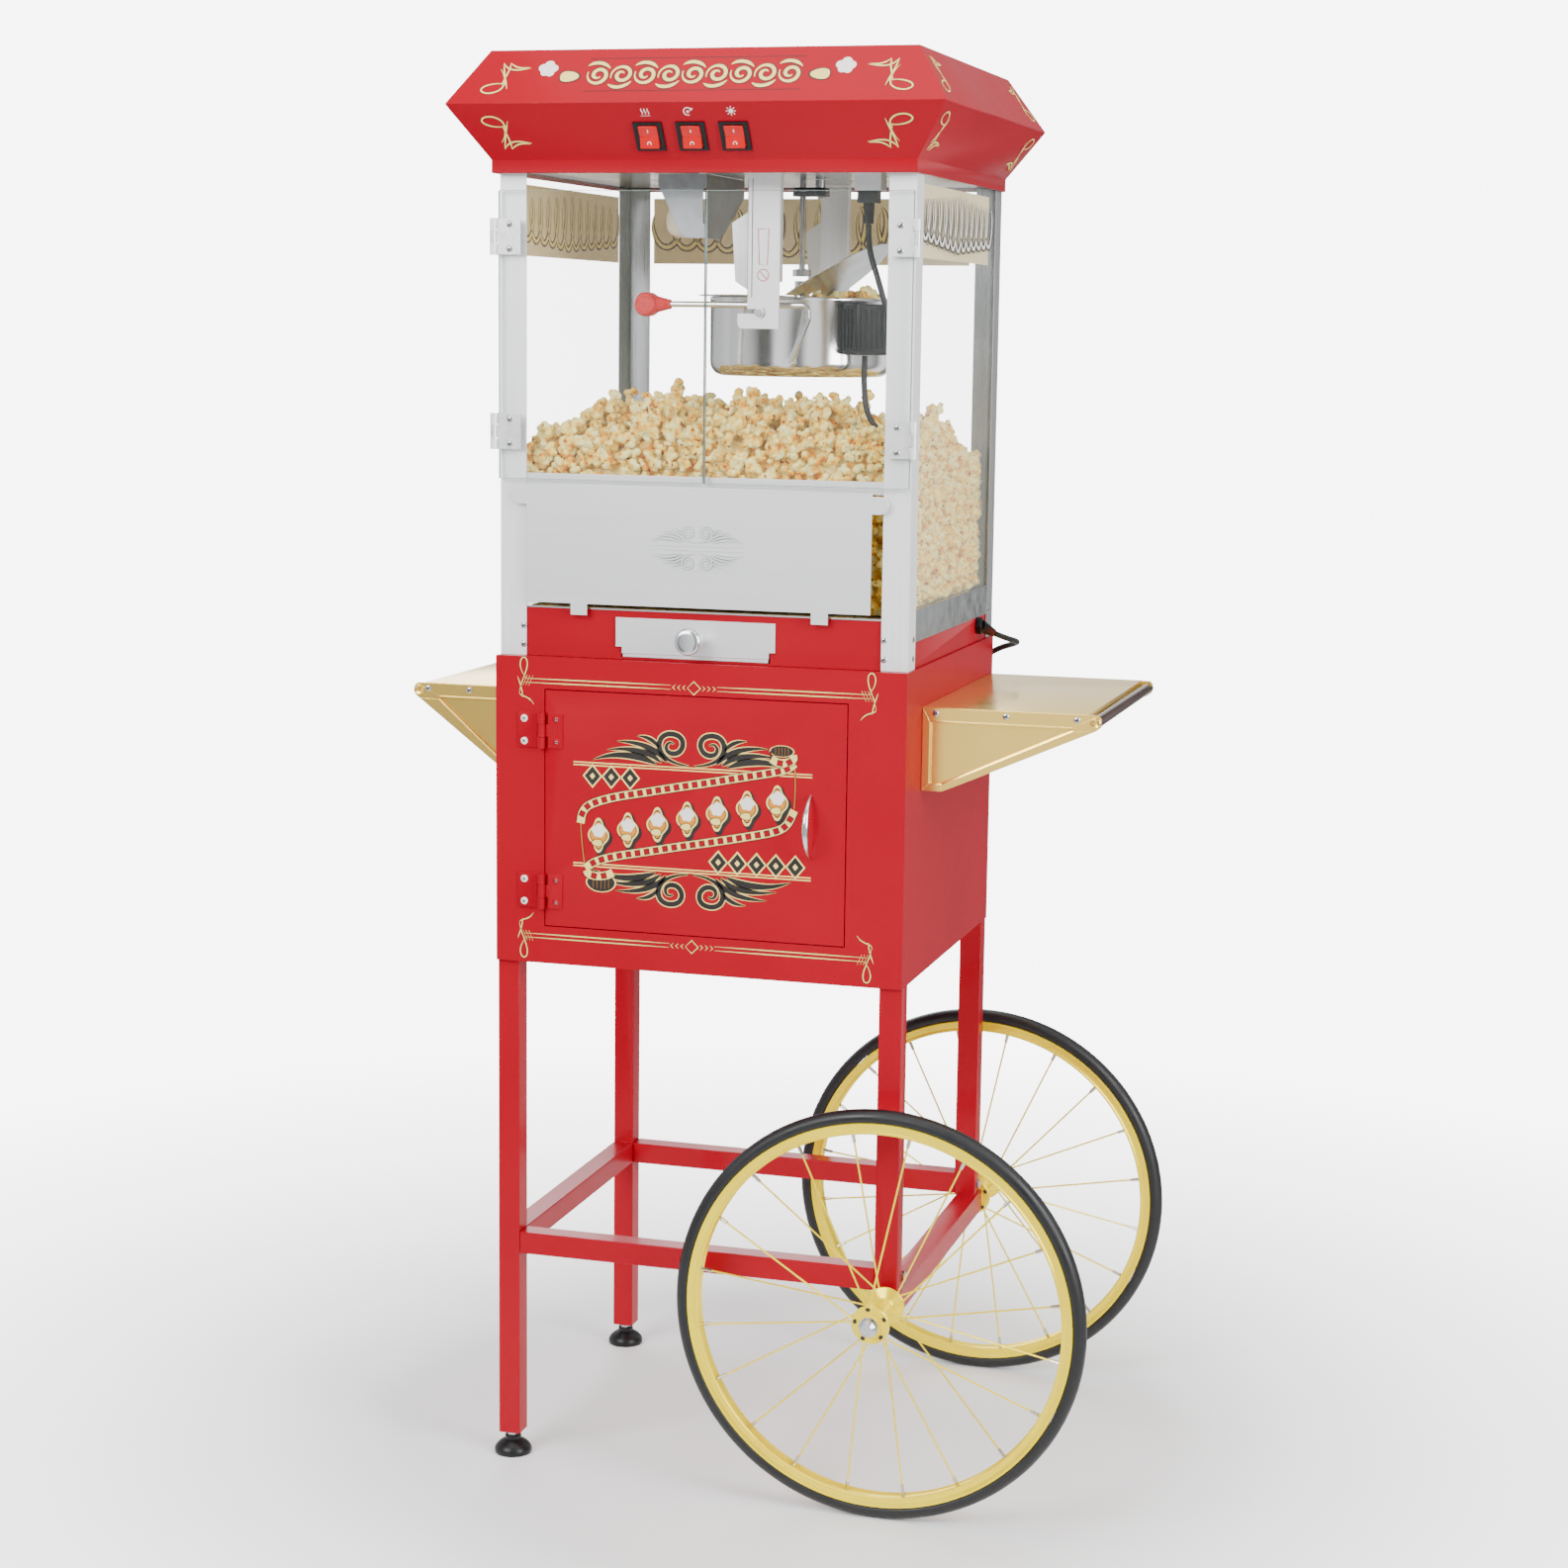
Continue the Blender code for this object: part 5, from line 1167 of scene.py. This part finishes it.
def add_band(name, plane, half, dark=DECAL_DARK, light=CREAM):
    """A pale printed band inside the top of a pane, with a row of overlapping plumes on either side of it."""
    band, ink, pale = bmesh.new(), bmesh.new(), bmesh.new()
    add_plate(band, [(-half, -0.0385), (half, -0.0385), (half, 0.0385), (-half, 0.0385)], plane, 0.0001,
              0.0004)
    count = int(half * 2 / 0.026)
    for i in range(count):
        u = (i - (count - 1) / 2) * 0.0255
        tall = 0.030 - 0.009 * abs(2 * i / (count - 1) - 1)
        loop = [(u + 0.0100 * math.sin(a) + 0.010 * math.cos(a / 2), tall * math.cos(a) + 0.002)
                for a in (math.pi * k / 12 for k in range(23))]
        for ink_low, pale_low, pale_high in ((0.0003, 0.0005, 0.0008), (-0.0040, -0.0042, -0.0037)):
            add_leaf(ink, loop, 0.0088, plane, ink_low, ink_low + 0.0003)
            add_leaf(pale, loop, 0.0040, plane, pale_low, pale_high)
    keep("pane_band_" + name, band, BAND)
    keep("pane_band_dark_" + name, ink, dark)
    keep("pane_band_pale_" + name, pale, light)


def make_glass_bands():
    """One band on each side pane and one on the rear pane. The right-hand one has the stronger inks."""
    for (side, sign), inks in zip(SIDES, ((), (INK, WHITE))):
        low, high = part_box("side_glass_" + side)
        inside = low.x if sign > 0 else high.x
        add_band(side, Plane((inside, -0.006, 1.3945), (0, 1, 0), normal=(-sign, 0, 0)), 0.172, *inks)
    add_band("rear", Plane((MIDDLE_X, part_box("rear_glass")[0].y, 1.3945)), 0.195)


# ---------------------------------------------------------------- pan and its drive
def make_pan():
    centre = at(PAN_X, PAN_Y, 0)
    radius, bottom, rim = 0.103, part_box("pan")[0].z, 1.315
    shape = bmesh.new()
    wall = mm((-3, 0), (-0.6, -0.4), (0, -1.8), (0, -4), (-1, -5.2), shift=(radius, rim))
    wall += [(radius - 0.001, bottom + 0.016)] + bend((radius - 0.016, bottom + 0.015), 0.015,
                                                      range(0, -91, -15))
    wall += [(0.060, bottom), (0.058, bottom + 0.0008), (0, bottom + 0.0008)]
    wall += [(0, bottom + 0.0026), (radius - 0.016, bottom + 0.0026)]
    wall += bend((radius - 0.016, bottom + 0.0158), 0.0132,
                 range(-75, 1, 15)) + [(radius - 0.0028, rim - 0.004)]
    add_lathe(shape, wall, centre, "Z", 96, closed=True)
    boss = mm((4.5, 6.8), (8, 6.8), (8.8, 5.8), (8.8, -3.5), (4.5, -3.5), shift=(0, rim))
    add_lathe(shape, boss, centre, "Z", 32, closed=True)
    length = 0.1515 - (radius - 0.003)
    pin = [(0, 0), (0.0052, 0), (0.0052, 0.010), (0.0040, 0.011), (0.0040, length - 0.001), (0.0032, length),
           (0, length)]
    for sign in (-1, 1):
        start = PAN_Y + sign * (radius - 0.003)
        add_box(shape, at(0.041, PAN_Y + sign * 0.0046, rim - 0.0045), at(0.057, start, rim - 0.0020), 0.0006)
        add_lathe(shape, pin, at(0.043, start, 1.297), y_way(sign), 20)
    keep("popping_pan", shape, BOWL, "pan", ("pan",), smooth=40)
    soften("terminal_box", PLASTIC, "pan", 0.0016)
    make_box_ribs()
    for side, _ in SIDES:
        soften("pan_lid_" + side, STEEL, "lid_" + side)
    make_handle()
    for node in ("pan_arm_front", "pan_arm_rear"):
        soften(node, POST, width=0.0003)
    make_arm_labels()
    make_arm_beads()
    make_bearing_block()
    for node, look in (("stirrer", CHROME), ("drive_shaft", CHROME), ("lead_plug", PLASTIC),
                       ("mains_plug", PLASTIC)):
        dress(node, look)


def make_bearing_block():
    """The black block that steadies the drive shaft under the ceiling, hung from a stub beside it."""
    shape = bmesh.new()
    ring = mm((4.2, 0), (11, 0), (11.4, 1), (11.4, 8.5), (11, 9.5), (4.2, 9.5), shift=(0, 1.4265))
    add_lathe(shape, ring, at(PAN_X, PAN_Y, 0), "Z", 32, closed=True)
    add_box(shape, at(0.0575, -0.0060, 1.4265), at(0.0770, 0.0160, 1.4360), 0.0008)
    keep("shaft_bearing_block", shape, PLASTIC)
    shape = bmesh.new()
    stub = at(0.0690, PAN_Y, 1.4358)
    add_lathe(shape, mm((0, 0), (5.5, 0), (5.5, 9), (0, 9)), stub, "Z", 24)
    add_lathe(shape, mm((0, -11.8), (2.8, -11.8), (3.2, -11.2), (3.2, -9.1), (0, -9.1)), stub, "Z", 6)
    keep("bearing_stub_and_bolt", shape, ZINC)


def make_arm_beads():
    """A pressed bead down each arm, with painted shade as a dark strip along its edges and a dark arc round
    the notch at each pivot pin.
    """
    bead, edge = bmesh.new(), bmesh.new()
    for side in (-1, 1):
        plane = Plane(at(0.043, PAN_Y + side * 0.1460, 1.297), (-side, 0, 0))
        line = mm(*((10.5 * side, 16 + 21 * i) for i in range(7)))
        # Painted shade: a wider dark strip under the bead, and a dark arc for the gap round the notch.
        add_stroke(edge, line, 0.0056, plane, *MARK, taper=False)
        add_stroke(bead, line, 0.0040, plane, 0.0, 0.0010, taper=False)
        hook = [(-side * u, v) for u, v in bend((0, 0), 0.0068, range(-75, 66, 10))]
        add_stroke(edge, hook, 0.0008, plane, *MARK)
    keep("arm_beads", bead, POST)
    keep("arm_painted_shade_lines", edge, PAINTED_SHADE)


def make_box_ribs():
    """Ribs, a lower flange and vents on the terminal box's faces, turned with it round the pan."""
    shape = bmesh.new()
    low, high = 1.2600, 1.3030
    for y in (-0.0225, 0.0225):
        for x in (0.1062 + 0.0062 * i for i in range(4)):
            add_box(shape, (x, y - 0.0012, low), (x + 0.0026, y + 0.0012, high), 0.0005)
    for y in (-0.0170 + 0.0075 * i for i in range(5)):
        add_box(shape, (0.1298, y, low), (0.1318, y + 0.0034, high), 0.0005)
    add_box(shape, (0.1050, -0.0235, 1.2535), (0.1318, 0.0235, 1.2565), 0.0008)
    turn = Matrix.Translation(at(PAN_X, PAN_Y, 0)) @ Matrix.Rotation(math.radians(-37), 4, "Z")
    bmesh.ops.transform(shape, matrix=turn, verts=shape.verts)
    keep("terminal_box_ribs", shape, PLASTIC, "pan")


def make_arm_labels():
    """Two plain red outlined caution marks on the front arm, without any lettering."""
    plane = Plane(at(0.0475, -0.1410, 1.3620))
    shape = bmesh.new()
    ring = circle((0, -0.025), 0.0062, 20)
    for outline in (mm((-6, 24), (6, 24), (4.5, -14), (-4.5, -14), (-6, 24)), ring + ring[:1],
                    mm((-4.2, -20.8), (4.2, -29.2))):
        add_stroke(shape, outline, 0.0010, plane, -0.0001, 0.0001, taper=False)
    keep("arm_caution_marks", shape, LABEL)


def make_handle():
    """The tipping rod, bent down to the pan's wall, with its ferrule and red knob."""
    y = -0.113
    rod = [at(-0.0700, y, 1.3055), at(0.0830, y, 1.3055)]
    rod += [at(x, y, z) for x, z in bend((0.0830, 1.2985), 0.0070, range(80, -1, -20))]
    rod += [at(0.0900, y, 1.2900), at(0.0790, y + 0.001, 1.2640), at(0.0695, y + 0.002, 1.2430)]
    shape = bmesh.new()
    add_tube(shape, rod, 0.0033, 16)
    ferrule = mm((0, 0), (4.2, 0), (4.5, 3), (4.5, 16), (0, 16))
    add_lathe(shape, ferrule, at(0.0690, -0.1135, 1.2440), "Y", 16)
    keep("tipping_rod", shape, CHROME, "pan", ("tip_handle",))
    shape = bmesh.new()
    drum = mm((0, -11), (8.2, -11), (9, -11.9), (10.6, -11.9), (11.8, -10.6), (13, -8), (13.1, 7),
              (12.4, 10.4),
              (10.4, 11.8), (8.4, 12), (7.8, 11.4), (0, 11.2))
    add_lathe(shape, drum, at(-0.0930, y, 1.3050), "Y", 48)
    cone = mm((0, 0), (10, 0), (8.6, 6), (6, 16), (5.2, 20), (0, 20))
    add_lathe(shape, cone, at(-0.0860, y, 1.3052), "X", 28)
    keep("red_knob", shape, KNOB_RED, "pan")


def make_lamp():
    soften("lamp_shield", GALVANISED, width=0.0003)
    centre = middle_of("lamp")
    centre.z = 0
    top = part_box("lamp")[1].z
    shape = bmesh.new()
    add_lathe(shape, [(0, top), (0.0138, top), (0.0140, 1.4275), (0.0128, 1.4262), (0, 1.4262)], centre, "Z",
              32)
    bulb = mm((0, 28.6), (12, 27.8), (13.2, 22.8), (17, 14.8), (20.8, 5.8), (22.2, -2.2), (20.8, -10.2),
              (16.8, -16), (10, -19.2), (0, -20), shift=(0, 1.3982))
    add_lathe(shape, bulb, centre, "Z", 40, look=1)
    keep("cabin_lamp", shape, [WHITE, BULB], replaces=("lamp",), smooth=50)


# ---------------------------------------------------------------- popped corn
def puff_shape(chance, level):
    """Directions pushed out to a cluster of round lobes: verts and faces of one popped piece."""
    ball = bmesh.new()
    bmesh.ops.create_icosphere(ball, subdivisions=level, radius=1.0)
    ways = np.array([v.co for v in ball.verts])
    faces = np.array([[v.index for v in f.verts] for f in ball.faces])
    ball.free()
    reach = np.full(len(ways), 0.26)
    for _ in range(chance.randint(6, 10)):
        way = Vector([chance.gauss(0, 1) for _ in range(3)]).normalized()
        centre = np.array(way) * chance.uniform(0.34, 0.62)
        radius = chance.uniform(0.22, 0.40)
        along = ways @ centre
        inside = radius**2 - (centre @ centre - along**2)
        hit = along + np.sqrt(np.maximum(inside, 0))
        reach = np.where((inside > 0) & (hit > reach), hit, reach)
    squeeze = np.array([chance.uniform(0.8, 1.0) for _ in range(3)])
    return ways * reach[:, None] * squeeze, faces


def scatter_corn(name, places, chance, level, body="cart"):
    """One mesh of many popped pieces, each a turned and scaled copy of one of a few shapes."""
    shapes = [puff_shape(chance, level) for _ in range(9)]
    points, faces, offset = [], [], 0
    for place, size in places:
        verts, tris = chance.choice(shapes)
        turn = np.array(Euler([chance.uniform(0, 6.28) for _ in range(3)]).to_matrix())
        points.append(verts @ turn.T * size + np.array(place))
        faces.append(tris + offset)
        offset += len(verts)
    points, faces = np.concatenate(points), np.concatenate(faces)
    mesh = bpy.data.meshes.new(name)
    mesh.vertices.add(len(points))
    mesh.vertices.foreach_set("co", points.astype(np.float32).ravel())
    mesh.loops.add(len(faces) * 3)
    mesh.loops.foreach_set("vertex_index", faces.astype(np.int32).ravel())
    mesh.polygons.add(len(faces))
    mesh.polygons.foreach_set("loop_start", np.arange(0, len(faces) * 3, 3, dtype=np.int32))
    mesh.update(calc_edges=True)
    mesh.validate()
    mesh.materials.append(CORN)
    mesh.shade_smooth()
    made = link(name, mesh)
    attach(made, body)
    return made


HEAP_X, HEAP_FRONT, HEAP_REAR = 0.2245, -0.1950, 0.2050
HEAP_FLOOR = 0.9785


def heap_height(x, y):
    """Height of the popped corn: level in front, lower at the left, and falling away to the rear."""
    z = 1.186
    z -= 0.036 * max(0.0, (-x - 0.085) / 0.140) ** 1.5
    z -= 0.020 * max(0.0, (x - 0.120) / 0.105) ** 1.5
    z -= 0.030 * max(0.0, (-y - 0.100) / 0.095) ** 2
    z -= 0.215 * max(0.0, y + 0.050)
    z -= 0.022 * math.exp(-((x - 0.178) ** 2 + (y + 0.088) ** 2) / 0.0016)
    return z + 0.007 * math.sin(31 * x + 2.0) * math.sin(27 * y + 1.0) + 0.005 * math.sin(70 * x)


def make_heap():
    chance = random.Random(7)
    pitch = 0.0138
    top, right, hidden = [], [], []
    columns = int(2 * HEAP_X / pitch)
    rows = int((HEAP_REAR - HEAP_FRONT) / pitch)
    for i in range(columns + 1):
        for j in range(rows + 1):
            x = -HEAP_X + 2 * HEAP_X * i / columns + chance.uniform(-0.4, 0.4) * pitch
            y = HEAP_FRONT + (HEAP_REAR - HEAP_FRONT) * j / rows + chance.uniform(-0.4, 0.4) * pitch
            size = chance.uniform(0.0115, 0.0165)
            x = min(max(x, -HEAP_X + size), HEAP_X - size)
            y = min(max(y, HEAP_FRONT + size), HEAP_REAR - size)
            top.append((at(x, y, heap_height(x, y) + chance.uniform(-0.004, 0.006)), size))
            if chance.random() < 0.20:
                top.append((at(x, y, heap_height(x, y) + 0.012), size * 0.9))
            if y < 0.02 and chance.random() < 0.05:
                top.append((at(x, y, heap_height(x, y) + 0.014), size))
                top.append((at(x + 0.004, y, heap_height(x, y) + 0.027), size * 0.9))
    for wall, length in (("right", HEAP_REAR - HEAP_FRONT), ("front", 2 * HEAP_X),
                         ("left", HEAP_REAR - HEAP_FRONT),
                         ("rear", 2 * HEAP_X)):
        count = int(length / pitch)
        for i in range(count + 1):
            along = i / count
            for k in range(16):
                size = chance.uniform(0.0115, 0.0155)
                z = HEAP_FLOOR + size + 0.0128 * k + chance.uniform(-0.003, 0.003)
                inward = size + chance.uniform(0.0, 0.003)
                shift = chance.uniform(-0.4, 0.4) * pitch
                if wall in ("right", "left"):
                    x = (HEAP_X - inward) * (1 if wall == "right" else -1)
                    y = min(max(HEAP_FRONT + length * along + shift, HEAP_FRONT + size), HEAP_REAR - size)
                else:
                    y = HEAP_FRONT + inward if wall == "front" else HEAP_REAR - inward
                    x = min(max(-HEAP_X + length * along + shift, -HEAP_X + size), HEAP_X - size)
                if z > heap_height(x, y) - 0.004:
                    continue
                (right if wall in ("right", "front") else hidden).append((at(x, y, z), size))
    lead = [at(*p) for p in LEAD_ROUTE]
    top = [(p, s) for p, s in top if min((p - q).length for q in lead) > s + 0.009]
    for i in range(4):
        scatter_corn(f"corn_top_{i + 1}", top[i::4], chance, 3)
    scatter_corn("corn_right", [p for p in right if p[0].x > at(0.19, 0, 0).x], chance, 3)
    scatter_corn("corn_front", [p for p in right if p[0].x <= at(0.19, 0, 0).x], chance, 3)
    scatter_corn("corn_left_and_rear", hidden, chance, 2)
    shape = bmesh.new()
    cells = 24
    grid = []
    for i in range(cells + 1):
        row = []
        for j in range(cells + 1):
            x = -HEAP_X + 0.020 + (2 * HEAP_X - 0.040) * i / cells
            y = HEAP_FRONT + 0.020 + (HEAP_REAR - HEAP_FRONT - 0.040) * j / cells
            row.append(shape.verts.new(at(x, y, heap_height(x, y) - 0.012)))
        grid.append(row)
    for i in range(cells):
        for j in range(cells):
            shape.faces.new((grid[i][j], grid[i + 1][j], grid[i + 1][j + 1], grid[i][j + 1]))
    rim = [grid[i][0] for i in range(cells + 1)] + [grid[cells][j] for j in range(1, cells + 1)]
    rim += [grid[i][cells] for i in range(cells - 1, -1, -1)] + [grid[0][j] for j in range(cells - 1, 0, -1)]
    lower = [shape.verts.new((v.co.x, v.co.y, HEAP_FLOOR)) for v in rim]
    for i in range(len(rim)):
        j = (i + 1) % len(rim)
        shape.faces.new((rim[i], lower[i], lower[j], rim[j]))
    shape.faces.new(lower)
    keep("corn_core", shape, CORN)


def make_pan_corn():
    """Corn that is popping in the pan, up to and a little over its rim."""
    chance = random.Random(21)
    places = []
    while len(places) < 120:
        x, y = chance.uniform(-0.088, 0.088), chance.uniform(-0.088, 0.088)
        if math.hypot(x, y) > 0.086 or math.hypot(x, y) < 0.014:
            continue
        lift = 0.010 + 0.014 * max(0.0, x / 0.088) if x > 0 else -0.006
        size = chance.uniform(0.0120, 0.0160)
        places.append((at(PAN_X + x, PAN_Y + y, 1.300 + lift - size * 0.4), size))
    corn = scatter_corn("corn_in_pan", places, chance, 3, "pan")
    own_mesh(corn)


make_camera()
make_studio()
make_mains_cord()
make_pan_lead()
make_stand()
for place in ("front", "rear"):
    make_wheel(place)
make_axle_ends()
make_cabinet()
make_shelf("right", 1)
make_shelf("left", -1)
dress("axle", ZINC)
make_case()
make_gland()
make_case_screws()
make_glass_rails()
make_hood()
make_cabinet_lines()
make_hood_print()
make_door_print()
make_panel_emboss()
make_glass_bands()
make_pan()
make_lamp()
make_heap()
make_pan_corn()
